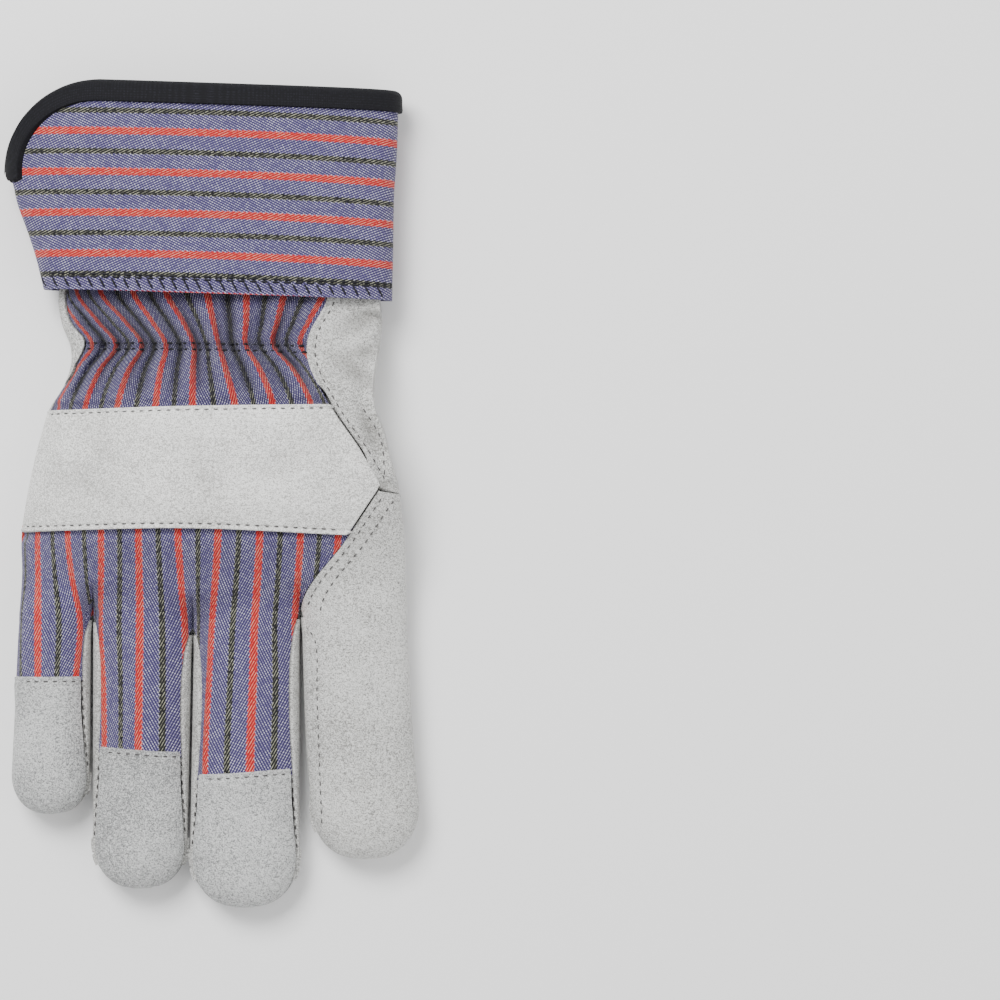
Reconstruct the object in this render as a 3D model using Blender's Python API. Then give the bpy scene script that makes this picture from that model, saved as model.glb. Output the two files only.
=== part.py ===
"""Leather palm work glove, right hand, lying back up with its thumb folded under the palm.

Metres, +Z up, +Y towards the cuff, +X towards the thumb side. The hand is one flattened tube, worked out
by functions from the sizes and short tables below, and each piece is a stretch of that tube with a wall.
The finished glove is moved at the end so that its origin is the middle of its rest face.
"""

import math

import bmesh
import bpy
import numpy as np
from mathutils import Matrix

# Driving sizes, each measured along the lying glove.
HAND_WIDTH = 0.1216
HAND_LENGTH = 0.1000
HAND_HEIGHT = 0.0240
SIDE_HEIGHT = 0.0095
THUMB_SIDE_HEIGHT = 0.0175
FINGER_HEIGHT = 0.0200
LITTLE_LENGTH = 0.0634
RING_LENGTH = 0.0871
MIDDLE_LENGTH = 0.0932
INDEX_LENGTH = 0.0778
THUMB_HEIGHT = 0.0160
THUMB_RAISE = 0.0090
RAISE_REACH = 0.0360
PALM_SLOPE = 0.0170
PALM_LAP = 0.0035
REST_FLAT = 0.0012
VALLEY_REACH = 0.12
LAP_FADE = 1.6
KNUCKLE_REACH = 0.42
CUFF_LENGTH = 0.0640
CUFF_WIDTH = 0.1300
CUFF_HEIGHT = 0.0270
CUFF_MIDDLE = 0.36
CUFF_CORNER = 0.0024
NOTCH_DEPTH = 0.0290
NOTCH_REACH = 0.0300
BINDING_WIDTH = 0.0048
STRAP_PROUD = 0.0009
TUCK_LENGTH = 0.0045

# Walls and clearances.
LEATHER = 0.0016
SIDE_LEATHER = 0.0012
FABRIC = 0.0012
CUFF_WALL = 0.0024
BINDING_WALL = 0.0010
SEAM_GAP = 0.0005
LAY_GAP = 0.0004
BACK_SEAM_GAP = 0.0008
BINDING_GAP = 0.0006
WELT_GAP = 0.0010
THUMB_CLEAR = 0.0018
BACK_ROOM = 0.0048

# Folds of the gathered wrist.
FOLD_COUNT = 11
FOLD_HEIGHT = 0.0010
ELASTIC_STATION = 0.85
FOLD_REACH = 0.0190

# Exponents of the rounded sections: 2 is an ellipse, more is boxier.
HAND_ROUNDING = 2.6
TIP_ROUNDING = 0.80

HALF_WIDTH = HAND_WIDTH / 2
HALF_GAP = SEAM_GAP / 2

# Hand outline. Station: share of HAND_LENGTH from the crotches to the hem. Edges: shares of HALF_WIDTH.
# Top: share of HAND_HEIGHT.
OUTLINE = {
    "station": (-0.04, 0.12, 0.27, 0.35, 0.43, 0.50, 0.58, 0.65, 0.73, 0.81, 0.85, 0.92, 1.00, 1.10),
    "left": (-1.02, -1.00, -1.00, -0.98, -0.955, -0.93, -0.895, -0.86, -0.78, -0.742, -0.747, -0.79, -0.81, -0.78),
    "right": (1.016, 1.01, 1.00, 0.985, 0.965, 0.93, 0.90, 0.855, 0.845, 0.863, 0.873, 0.885, 0.875, 0.85),
    "top": (0.84, 0.90, 0.97, 1.00, 1.00, 1.00, 0.98, 0.94, 0.86, 0.78, 0.77, 0.79, 0.80, 0.80),
}
# Height of the thumb-side edge, as a share of THUMB_SIDE_HEIGHT, by station.
THUMB_EDGE = {
    "station": (0.0, 0.16, 0.26, 0.42, 0.70, 0.95, 1.10),
    "height": (0.55, 0.75, 0.98, 1.00, 0.85, 0.70, 0.70),
}
# How much of THUMB_HEIGHT the thumb has at each station.
THUMB_FADE = {"station": (0.0, 0.72, 0.84, 1.00, 1.10), "share": (1.0, 1.0, 0.72, 0.30, 0.30)}
# Crotches between the fingers: place across as a share of HALF_WIDTH, drop as a share of HAND_LENGTH.
CROTCHES = {"place": (-1.02, -0.633, -0.105, 0.457, 1.016), "drop": (0.0, 0.0, 0.042, -0.012, -0.01)}
# Back seams of the wrist fabric, by station: shares of HALF_WIDTH.
FABRIC_LEFT = {
    "station": (0.64, 0.71, 0.76, 0.80, 0.84, 0.87, 0.92, 1.00, 1.10),
    "place": (-0.87, -0.80, -0.735, -0.71, -0.675, -0.668, -0.735, -0.77, -0.74),
}
FABRIC_RIGHT = {
    "station": (0.406, 0.51, 0.67, 0.83, 0.88, 1.00, 1.10),
    "place": (0.895, 0.80, 0.625, 0.513, 0.521, 0.615, 0.62),
}
# Back seam of the index finger's leather, from the crotch up to the thumb-side edge.
INDEX_SEAM = {"station": (-0.02, 0.012, 0.249, 0.40), "place": (0.457, 0.457, 0.715, 0.88)}
# Knuckle strap edges, as stations, at the little-finger side, the middle and the thumb side.
STRAP_EDGES = {"share": (0.0, 0.5, 1.0), "low": (0.258, 0.271, 0.249), "high": (0.652, 0.664, 0.670)}
# Thumb outline from root to tip: inner and outer side, across as shares of HALF_WIDTH, along as stations.
THUMB_SIDES = {
    "inner_x": (0.430, 0.345, 0.253, 0.074, -0.085, -0.227, -0.339, -0.442, -0.493, -0.487, -0.430),
    "inner_y": (1.045, 0.962, 0.880, 0.742, 0.640, 0.540, 0.455, 0.374, 0.285, 0.205, 0.135),
    "outer_x": (0.945, 0.845, 0.740, 0.589, 0.437, 0.313, 0.197, 0.082, -0.040, -0.180, -0.310),
    "outer_y": (0.372, 0.355, 0.335, 0.300, 0.274, 0.225, 0.160, 0.090, 0.048, 0.044, 0.075),
    "height": (1.0, 1.0, 1.0, 1.0, 1.0, 1.0, 1.0, 1.0, 0.97, 0.86, 0.55),
}
THUMB_TIP = (-0.385, 0.098)

LEATHER_GREY = (0.58, 0.58, 0.56, 1.0)
FABRIC_BLUE = (0.22, 0.22, 0.36, 1.0)
BINDING_BLACK = (0.012, 0.012, 0.018, 1.0)


def row(table, column, at):
    """Smooth value of a table's column at the places given: a cubic through the rows (Catmull-Rom)."""
    keys = np.array(next(iter(table.values())), float)
    values = np.array(table[column], float)
    slopes = np.gradient(values, keys)
    at = np.clip(np.asarray(at, float), keys[0], keys[-1])
    i = np.clip(np.searchsorted(keys, at) - 1, 0, len(keys) - 2)
    step = keys[i + 1] - keys[i]
    t = (at - keys[i]) / step
    rise = t * t * (3 - 2 * t)
    return (
        values[i] * (1 - rise)
        + values[i + 1] * rise
        + step * slopes[i] * t * (1 - t) ** 2
        - step * slopes[i + 1] * t * t * (1 - t)
    )


def smooth(x):
    x = np.clip(x, 0.0, 1.0)
    return x * x * (3 - 2 * x)


def station_y(station):
    return np.asarray(station, float) * HAND_LENGTH


def y_station(y):
    return np.asarray(y, float) / HAND_LENGTH


def edge_left(y):
    return row(OUTLINE, "left", y_station(y)) * HALF_WIDTH


def edge_right(y):
    return row(OUTLINE, "right", y_station(y)) * HALF_WIDTH


def across(x, y):
    """Place across the hand, -1 at the little-finger edge and 1 at the thumb edge."""
    left, right = edge_left(y), edge_right(y)
    return np.clip(2 * (x - left) / (right - left) - 1, -1.0, 1.0)


def bulge(t):
    return (1 - np.abs(t) ** HAND_ROUNDING) ** (1 / HAND_ROUNDING)


def middle_height(x, y):
    """Height at which the back and the palm meet, rising from the little-finger edge to the thumb edge."""
    right = THUMB_SIDE_HEIGHT * row(THUMB_EDGE, "height", y_station(y))
    share = smooth((across(x, y) + 1) / 2) * (1 - lobes(x, y))
    return SIDE_HEIGHT + (right - SIDE_HEIGHT) * share


def thumb_points():
    rows = THUMB_SIDES
    inner = np.column_stack([np.array(rows["inner_x"]) * HALF_WIDTH, station_y(rows["inner_y"])])
    outer = np.column_stack([np.array(rows["outer_x"]) * HALF_WIDTH, station_y(rows["outer_y"])])
    tip = np.array([[THUMB_TIP[0] * HALF_WIDTH, THUMB_TIP[1] * HAND_LENGTH]])
    return inner, outer, tip


def thumb_distance(x, y):
    """Signed distance in plan to the thumb's outline, negative over the thumb and over its root."""
    inner, outer, tip = thumb_points()
    beyond = np.array([[outer[0, 0] + PALM_SLOPE, inner[0, 1] + PALM_SLOPE]])
    loop = np.vstack([inner, tip, outer[::-1], beyond])
    points = np.stack(np.broadcast_arrays(x, y), axis=-1)[..., None, :]
    start, end = loop, np.roll(loop, -1, axis=0)
    run = end - start
    t = np.clip(((points - start) * run).sum(-1) / (run**2).sum(-1), 0, 1)
    distance = np.sqrt(((points - start - t[..., None] * run) ** 2).sum(-1)).min(-1)
    above = (start[:, 1] > points[..., 1]) != (end[:, 1] > points[..., 1])
    rise = np.where(run[:, 1] == 0, 1e-9, run[:, 1])
    crossing = start[:, 0] + (points[..., 1] - start[:, 1]) * run[:, 0] / rise
    inside = (above & (points[..., 0] < crossing)).sum(-1) % 2 == 1
    return np.where(inside, -distance, distance)


def floor_height(y):
    """Lowest height of the hand tube: the floor, or above the cuff's wall where it is tucked in."""
    room = LEATHER + LAY_GAP + CUFF_WALL + LAY_GAP + CUFF_CORNER
    return room * smooth((y_station(y) - 0.915) / 0.055)


def thumb_height(y):
    return THUMB_HEIGHT * row(THUMB_FADE, "share", y_station(y))


def finger_share(x):
    """Rise of the finger lobes at the crotch row: 0 at each crotch, 1 in the middle of each finger."""
    places = np.array(CROTCHES["place"]) * HALF_WIDTH
    i = np.clip(np.searchsorted(places, x) - 1, 0, len(places) - 2)
    t = np.clip(2 * (x - places[i]) / (places[i + 1] - places[i]) - 1, -1, 1)
    return np.sqrt(1 - t * t)


def crotch_y(x):
    return -row(CROTCHES, "drop", np.clip(x / HALF_WIDTH, -1.02, 1.016)) * HAND_LENGTH


def lobes(x, y):
    """1 at the crotches, 0 from the knuckles up."""
    station = y_station(y - crotch_y(x))
    return 1 - smooth(station / VALLEY_REACH)


def profile(x, y):
    """Rise from edge to middle: one broad arch over the hand, a lobe for each finger at the crotches."""
    m = lobes(x, y)
    left, right = edge_left(y), edge_right(y)
    first, last = CROTCHES["place"][0] * HALF_WIDTH, CROTCHES["place"][-1] * HALF_WIDTH
    spread = first + (x - left) / (right - left) * (last - first)
    return (1 - m) * bulge(across(x, y)) + m * finger_share(spread)


def top_height(x, y):
    middle = middle_height(x, y)
    near = smooth(1 - thumb_distance(x, y) / RAISE_REACH) * thumb_height(y) / THUMB_HEIGHT
    near = near * smooth(y_station(y - crotch_y(x)) / KNUCKLE_REACH)
    m = lobes(x, y)
    top = HAND_HEIGHT * row(OUTLINE, "top", y_station(y)) + THUMB_RAISE * near
    top = (1 - m) * top + m * FINGER_HEIGHT
    top = middle + (top - middle) * profile(x, y)
    low = bottom_height(x, y)
    return np.where(low > middle, np.maximum(top, low + BACK_ROOM), top)


def bottom_height(x, y):
    """The palm: on the floor, and lifted over the thumb."""
    middle = middle_height(x, y)
    over = smooth(1 - (thumb_distance(x, y) + PALM_LAP) / PALM_SLOPE) * (1 - lobes(x, y) ** LAP_FADE)
    low = -REST_FLAT + (floor_height(y) + thumb_height(y) + THUMB_CLEAR + REST_FLAT) * over
    low = np.where(low > middle, low, middle - (middle - low) * profile(x, y))
    return np.maximum(low, floor_height(y))


# Meshes from grids of points.


class Sheet:
    """Open surface collected from grids of points, turned into a walled solid at the end."""

    def __init__(self, name, wall, colour):
        self.name, self.wall, self.colour = name, wall, colour
        self.bm = bmesh.new()

    def grid(self, points, flip=False):
        """Adds rows of points, shape (rows, columns, 3). Faces look along row step x column step."""
        points = np.asarray(points, float)
        verts = [[self.bm.verts.new(p) for p in line] for line in points]
        for i in range(len(verts) - 1):
            for j in range(len(verts[0]) - 1):
                corners = [verts[i][j], verts[i + 1][j], verts[i + 1][j + 1], verts[i][j + 1]]
                self.bm.faces.new(corners[::-1] if flip else corners)

    def solid(self, level=None):
        """Gives the surface its wall on the inner side. Level edges, where level(point) holds, keep an
        upright seam face, so that the pieces above and below stay apart."""
        bm = self.bm
        bmesh.ops.remove_doubles(bm, verts=bm.verts, dist=2e-6)
        bmesh.ops.dissolve_degenerate(bm, edges=bm.edges, dist=1e-6)
        bmesh.ops.triangulate(bm, faces=bm.faces, quad_method="SHORT_EDGE")
        bm.normal_update()
        inner = {}
        outer = list(bm.verts)
        faces = list(bm.faces)
        rim = [e for e in bm.edges if e.is_boundary]
        for v in outer:
            normal = v.normal.copy()
            if v.is_boundary and level is not None:
                if level(v.co):
                    normal.z = 0.0
                elif abs(v.co.y - crotch_y(v.co.x)) < LEATHER:
                    normal.y = 0.0
                normal.normalize()
            inner[v] = bm.verts.new(v.co - normal * self.wall)
        for f in faces:
            bm.faces.new([inner[v] for v in reversed(f.verts)])
        for e in rim:
            loop = e.link_loops[0]
            a, b = loop.vert, loop.link_loop_next.vert
            bm.faces.new([b, a, inner[a], inner[b]])
        bmesh.ops.triangulate(bm, faces=bm.faces)
        mesh = bpy.data.meshes.new(self.name)
        bm.to_mesh(mesh)
        bm.free()
        return add_object(self.name, mesh, self.colour)


def add_object(name, mesh, colour):
    obj = bpy.data.objects.new(name, mesh)
    bpy.data.collections["work_glove"].objects.link(obj)
    material = bpy.data.materials.get(name) or bpy.data.materials.new(name)
    material.use_nodes = True
    shader = material.node_tree.nodes["Principled BSDF"]
    shader.inputs["Base Color"].default_value = colour
    shader.inputs["Roughness"].default_value = 0.95
    mesh.materials.append(material)
    mesh.shade_smooth()
    mesh.set_sharp_from_angle(angle=math.radians(40))
    return obj


def stack(x, y, z):
    return np.stack(np.broadcast_arrays(x, y, z), axis=-1)


# The hand tube, by share across (0 at the little-finger edge, 1 at the thumb edge) and place along.


def share_x(share, y):
    return edge_left(y) + (edge_right(y) - edge_left(y)) * share


def place_share(place):
    """Share across of a place on the crotch row."""
    first, last = CROTCHES["place"][0] * HALF_WIDTH, CROTCHES["place"][-1] * HALF_WIDTH
    return (place - first) / (last - first)


def x_share(x, y):
    return (x - edge_left(y)) / (edge_right(y) - edge_left(y))


def back(share, y, lift=0.0):
    """Points of the back, lift above it. The edge stays half a gap over the middle height."""
    x = share_x(share, y)
    z = np.maximum(top_height(x, y), middle_height(x, y) + HALF_GAP)
    return stack(x, y, z + lift)


def steepness(x, y):
    """How much longer a wall measures upright than square to a sloping back, up to three times."""
    step, most = 0.0005, 3.0
    slope = (top_height(x + step, y) - top_height(x - step, y)) / (2 * step)
    rise = (top_height(x, y + step) - top_height(x, y - step)) / (2 * step)
    return np.minimum(np.sqrt(1 + slope**2 + rise**2), most)


def under_strap(points, y, lower):
    """Drops the points by a share of the depth that clears the strap, but not below the side seam."""
    x = points[:, 0]
    depth = (LEATHER + LAY_GAP) * steepness(x, y) - STRAP_PROUD
    floor = middle_height(x, y) + HALF_GAP
    points[:, 2] = np.maximum(points[:, 2] - depth * lower, floor)
    return points


def palm(share, y):
    """Points of the palm. Its edge stays half a gap under the middle height."""
    x = share_x(share, y)
    z, middle = bottom_height(x, y), middle_height(x, y)
    z = np.where(z > middle, z, np.minimum(z, middle - HALF_GAP))
    return stack(x, y, np.maximum(z, floor_height(y)))


def seam_level(co):
    """True on the side seams, where the back and the palm meet edge to edge."""
    return abs(co.z - SIDE_HEIGHT) < 1.6 * HALF_GAP


# Fingers.

FINGERS = {
    "little": {"crotches": (0, 1), "length": LITTLE_LENGTH, "end": (-0.850, 0.205), "bow": 0.0},
    "ring": {"crotches": (1, 2), "length": RING_LENGTH, "end": (-0.382, 0.248), "bow": 0.0},
    "middle": {"crotches": (2, 3), "length": MIDDLE_LENGTH, "end": (0.165, 0.287), "bow": 0.0},
    "index": {"crotches": (3, 4), "length": INDEX_LENGTH, "end": (0.775, 0.285), "bow": 0.02},
}
FINGER_STEPS = 6
FINGER_ROWS = (0.0, 0.06, 0.16, 0.36, 0.60, 0.82, 1.0)
TIP_ANGLES = (30, 58, 90)
SIDE_STRIP = math.radians(34)
UNDER_STRIP = math.radians(8)
CAP_STARTS = {"little": 0.38, "ring": 0.60, "middle": 0.67}
GAP_AT_ROOT = 0.00035


def finger_angle_places(finger, angle, apart=(0.0, 0.0)):
    """Place on the crotch row of the points at this angle, 0 on the thumb side and 180 degrees opposite."""
    places = np.array(CROTCHES["place"]) * HALF_WIDTH
    low, high = (places[i] for i in finger["crotches"])
    return np.clip((low + high) / 2 + (high - low) / 2 * np.cos(angle), low + apart[0], high - apart[1])


def finger_points(finger, v, tip, angle, apart=(0.0, 0.0)):
    """Points of a finger: v from the crotch row (0) to where the tip starts (1), tip from 0 to 90 degrees.
    A section is an ellipse whose lower side is cut flat by the floor. Apart keeps the root clear of the
    crotch on the little-finger side and on the thumb side."""
    place = finger_angle_places(finger, angle, apart)
    root_y = crotch_y(place)
    root_x = share_x(place_share(place), root_y)
    places = np.array(CROTCHES["place"]) * HALF_WIDTH
    low, high = (places[i] for i in finger["crotches"])
    end_x, end_half = (share * HALF_WIDTH for share in finger["end"])
    half = (high - low) / 2 - GAP_AT_ROOT
    half = half + (end_half - half) * v
    centre = (low + high) / 2
    centre = centre + (end_x - centre) * v + finger["bow"] * HALF_WIDTH * v**4
    close = np.cos(tip) ** TIP_ROUNDING
    blend = smooth(v / 0.14)
    x = root_x * (1 - blend) + (centre + half * np.cos(angle) * close) * blend
    end_y = -finger["length"] + end_half
    y = root_y + (end_y - root_y) * v - end_half * np.sin(tip)
    rise = np.sign(np.sin(angle)) * finger_share(place) * (1 - blend) + np.sin(angle) * close * blend
    up = SIDE_HEIGHT + (FINGER_HEIGHT - SIDE_HEIGHT) * rise
    down = np.maximum(SIDE_HEIGHT + (SIDE_HEIGHT + REST_FLAT) * rise, 0.0)
    above, below = SIDE_HEIGHT + HALF_GAP, SIDE_HEIGHT - HALF_GAP
    z = np.where(np.sin(angle) > 0, np.maximum(up, above), np.minimum(down, below))
    return stack(x, y, z)


def strip_widths(along):
    """Angles that the side strip takes above and below the middle, from a point at the crotch to the tip."""
    lens = np.sin(math.pi * np.clip(along, 0, 1) ** 0.55) ** 0.7
    return SIDE_STRIP * lens, UNDER_STRIP * lens


def finger_rows(from_v, to_v, with_tip):
    rows = [(v, 0.0) for v in sorted({from_v, to_v, *(r for r in FINGER_ROWS if from_v < r < to_v)})]
    if with_tip:
        rows += [(1.0, math.radians(a)) for a in TIP_ANGLES]
    return rows


def along_finger(v, tip):
    return 0.86 * v + 0.14 * math.sin(tip)


def finger_grid(finger, rows, sides, upper, apart=(0.0, 0.0)):
    """Rows of points over the upper or lower half of a finger, between its side strips. Sides tells whether
    there is a strip on the thumb side and on the little-finger side."""
    lines = []
    for v, tip in rows:
        above, below = strip_widths(along_finger(v, tip))
        width = above if upper else below
        gap = 1.5 * HALF_GAP / SIDE_HEIGHT if width > 0 else 0.0
        start = (width + gap) * sides[0]
        end = math.pi - (width + gap) * sides[1]
        angle = np.linspace(start, end, FINGER_STEPS + 1)
        lines.append(finger_points(finger, v, tip, angle if upper else -angle, apart))
    return np.array(lines)


def strip(name, finger, side):
    """Side strip between the back and the front of a finger, a long leaf with a point at each end."""
    lines = []
    for along in (0.05, 0.10, 0.17, 0.27, 0.40, 0.54, 0.70, 0.84, 0.90):
        v = min(along / 0.86, 1.0)
        tip = math.asin(max(along - 0.86, 0.0) / 0.14)
        above, below = strip_widths(along)
        gap = 2 * HALF_GAP / SIDE_HEIGHT
        angle = np.linspace(-below + gap, above - gap, 4)
        if side < 0:
            angle = math.pi - angle
        lines.append(finger_points(finger, v, tip, angle))
    sheet = Sheet(name, SIDE_LEATHER, LEATHER_GREY)
    sheet.grid(lines, flip=side > 0)
    return sheet.solid()


# Pieces of the hand.


def lower_columns():
    """Shares across of the palm's columns, those of the four fingers' lower halves side by side."""
    angle = np.linspace(-math.pi, 0, FINGER_STEPS + 1)
    places = [finger_angle_places(f, angle)[:-1] for f in FINGERS.values()]
    return place_share(np.append(np.concatenate(places), CROTCHES["place"][-1] * HALF_WIDTH))


def left_wrap(y):
    """Share across of the leather's edge on the back of the wrist, 0 where it stops at the side."""
    share = x_share(row(FABRIC_LEFT, "place", y_station(y)) * HALF_WIDTH, y)
    return np.maximum(share, 0.0) * smooth((y_station(y) - 0.70) / 0.05)


def root_share(y):
    """Share across of the palm's edge along the root of the thumb."""
    inner, outer, _ = thumb_points()
    t = np.clip((inner[0, 1] - y) / (inner[0, 1] - outer[0, 1]), 0, 1)
    x = inner[0, 0] + (outer[0, 0] - inner[0, 0]) * t - 2 * LEATHER
    return x_share(x, y)


def seam_share(table, y, side):
    """Share across of a back seam, just to one side of it."""
    return x_share(row(table, "place", y_station(y)) * HALF_WIDTH + side * BACK_SEAM_GAP / 2, y)


# The fabric's edge under the strap: its clearance in front of the strap, and its insets by row from the tuck.
EDGE_CLEAR = 0.0004
TUCK_INSETS = {0: 0.070, 1: 0.026}

PALM_STATIONS = (1.08, 0.985, 0.955, 0.92, 0.88, 0.84, 0.79, 0.73, 0.67, 0.60, 0.53, 0.46, 0.372)
SPLIT = 0.372
SPLIT_EDGE = 0.385
INDEX_TOP = 0.398
LOWER_ROWS = (0.0, 0.20, 0.42, 0.63, 0.82, 0.91, 1.0)


def palm_leather():
    """Palm from the cuff to the crotches, the little finger's front and the whole of the index finger."""
    sheet = Sheet("palm_leather", LEATHER, LEATHER_GREY)
    columns = lower_columns()
    root = len(columns) - 2
    lines = []
    for station in PALM_STATIONS:
        y = station_y(station)
        wrap = left_wrap(y) - SEAM_GAP / 2 / HAND_WIDTH
        side = palm(0.0, y)
        folded = back(np.array([1.0, 0.6, 0.25]) * max(wrap, 0.0), y)
        weight = min(max(wrap, 0.0) / 0.02, 1.0)
        folded = side + (folded - side) * weight
        lines.append(np.vstack([folded, palm(columns[: root + 1] * root_share(y) / columns[root], y)]))
    sheet.grid(lines, flip=True)

    first = float(root_share(station_y(SPLIT)) / columns[root])
    left, right = CROTCHES["place"][0] * HALF_WIDTH, CROTCHES["place"][-1] * HALF_WIDTH
    places = left + columns * (right - left)
    top = station_y(np.where(columns < 1, SPLIT, SPLIT_EDGE)) - np.where(columns < 1, 0.0, SEAM_GAP)
    lines = []
    for r in LOWER_ROWS:
        y = top + (crotch_y(places) - top) * r
        share = columns * np.where(columns < 1, first + (1 - first) * r, 1.0)
        lines.append(palm(share, y))
    sheet.grid(lines, flip=True)

    index, little = FINGERS["index"], FINGERS["little"]
    upper = np.linspace(0, math.pi, FINGER_STEPS + 1)
    apart = (BACK_SEAM_GAP / 2, 0.0)
    index_places = finger_angle_places(index, upper, apart)
    top_edge = station_y(SPLIT_EDGE + (INDEX_TOP - SPLIT_EDGE) * np.linspace(0, 1, len(upper))) - SEAM_GAP
    lines = []
    for r in LOWER_ROWS:
        y = top_edge + (crotch_y(index_places) - top_edge) * r
        seam = seam_share(INDEX_SEAM, y[-1], 1)
        start = place_share(index_places[-1])
        share = 1 - (1 - place_share(index_places)) / (1 - start) * (1 - seam)
        points = back(share, y)
        points[0] = palm(1.0, y[0])
        lines.append(points)
    sheet.grid(lines, flip=True)

    rows = finger_rows(0.0, 1.0, True)
    sheet.grid(finger_grid(index, rows, (0, 1), True, apart), flip=True)
    sheet.grid(finger_grid(index, rows, (0, 1), False))
    sheet.grid(finger_grid(little, rows, (1, 0), False))
    return sheet.solid(seam_level)


def finger_back():
    """Back of the hand below the strap, with the backs of three fingers as far as their caps."""
    sheet = Sheet("finger_back", FABRIC, FABRIC_BLUE)
    angle = np.linspace(math.pi, 0, FINGER_STEPS + 1)
    backs = {name: FINGERS[name] for name in ("little", "ring", "middle")}
    apart = {"little": (0.0, 0.0), "ring": (0.0, 0.0), "middle": (0.0, BACK_SEAM_GAP / 2)}
    each = {name: finger_angle_places(finger, angle, apart[name]) for name, finger in backs.items()}
    places = np.concatenate([each["little"], each["ring"][1:], each["middle"][1:]])
    columns = place_share(places)
    fixed = 2 * FINGER_STEPS
    edge = station_y(row(STRAP_EDGES, "low", columns))
    lines = []
    tuck = ((TUCK_LENGTH, 1.0), (-EDGE_CLEAR, 1.0), (-3 * EDGE_CLEAR, 0.5), (-8 * EDGE_CLEAR, 0.0))
    for ahead, lower in tuck:
        lines.append((edge + ahead, lower))
    start = edge - 8 * EDGE_CLEAR
    for r in (0.33, 0.62, 0.83, 1.0):
        lines.append((start + (crotch_y(places) - start) * r, 0.0))
    grid = []
    for n, (y, lower) in enumerate(lines):
        seam = seam_share(INDEX_SEAM, y[-1], -1) if n < len(lines) - 1 else columns[-1]
        share = columns.copy()
        stretch = (seam - columns[fixed]) / (columns[-1] - columns[fixed])
        share[fixed:] = columns[fixed] + (columns[fixed:] - columns[fixed]) * stretch
        inset = TUCK_INSETS.get(n, 0.0)
        share = inset + share * (share[-1] - 2 * inset) / share[-1]
        grid.append(under_strap(back(share, y), y, lower))
    sheet.grid(grid)
    for name, finger in backs.items():
        rows = finger_rows(0.0, CAP_STARTS[name], False)
        sides = (1, 0) if name == "little" else (1, 1)
        sheet.grid(finger_grid(finger, rows, sides, True, apart[name])[:, ::-1])
    return sheet.solid(seam_level)


def finger_front(name):
    """Front of the ring or middle finger, sewn to the palm along the crotch row."""
    finger = FINGERS[name]
    sheet = Sheet(name + "_front", LEATHER, LEATHER_GREY)
    rows = finger_rows(WELT_GAP / finger["length"], 1.0, True)
    sheet.grid(finger_grid(finger, rows, (1, 1), False))
    return sheet.solid(seam_level)


def finger_cap(name):
    """Leather cap over the back of a fingertip."""
    finger = FINGERS[name]
    sheet = Sheet(name + "_tip", LEATHER, LEATHER_GREY)
    rows = finger_rows(CAP_STARTS[name] + SEAM_GAP / finger["length"], 1.0, True)
    sides = (1, 0) if name == "little" else (1, 1)
    sheet.grid(finger_grid(finger, rows, sides, True)[:, ::-1])
    return sheet.solid(seam_level)


def knuckle_strap():
    """Leather strap across the knuckles, lying on the back's fabric."""
    sheet = Sheet("knuckle_strap", LEATHER, LEATHER_GREY)
    columns = 0.5 - 0.5 * np.cos(np.linspace(0, math.pi, 17))
    lines = []
    for r in np.linspace(1, 0, 8):
        low, high = (station_y(row(STRAP_EDGES, edge, columns)) for edge in ("low", "high"))
        y = low + (high - low) * r
        y_end = y[-1]
        table = FABRIC_RIGHT if y_end > station_y(0.408) else INDEX_SEAM
        share = columns * seam_share(table, y_end, -1)
        lift = STRAP_PROUD * smooth(share / 0.04)
        lines.append(back(share, y, lift))
    sheet.grid(lines)
    return sheet.solid(seam_level)


def fold_lift(station, column):
    """Soft folds of the gathered wrist, deepest at the elastic."""
    reach = np.exp(-(((station - ELASTIC_STATION) * HAND_LENGTH / FOLD_REACH) ** 2) * 1.5)
    wave = np.cos(2 * math.pi * FOLD_COUNT * column)
    return FOLD_HEIGHT * reach * wave * np.sin(math.pi * column)


def wrist_back():
    """Gathered fabric over the back of the wrist, from inside the cuff to under the strap."""
    sheet = Sheet("wrist_back", FABRIC, FABRIC_BLUE)
    columns = np.linspace(0, 1, 4 * FOLD_COUNT + 1)
    edge = station_y(row(STRAP_EDGES, "high", columns))
    lines = [(edge - TUCK_LENGTH, 1.0), (edge + EDGE_CLEAR, 1.0), (edge + 8 * EDGE_CLEAR, 0.0)]
    for station in (0.74, 0.78, 0.82, 0.85, 0.88, 0.92, 0.98, 1.08):
        lines.append((station_y(station) + 0 * edge, 0.0))
    grid = []
    for n, (y, lower) in enumerate(lines):
        inset = TUCK_INSETS.get(n, 0.0)
        left = left_wrap(y) + HALF_GAP / HAND_WIDTH + inset
        right = seam_share(FABRIC_RIGHT, y, -1) - inset
        lift = fold_lift(y_station(y), columns)
        grid.append(under_strap(back(left + (right - left) * columns, y, lift), y, lower))
    grid.reverse()
    sheet.grid(grid)
    return sheet.solid(seam_level)


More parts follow.
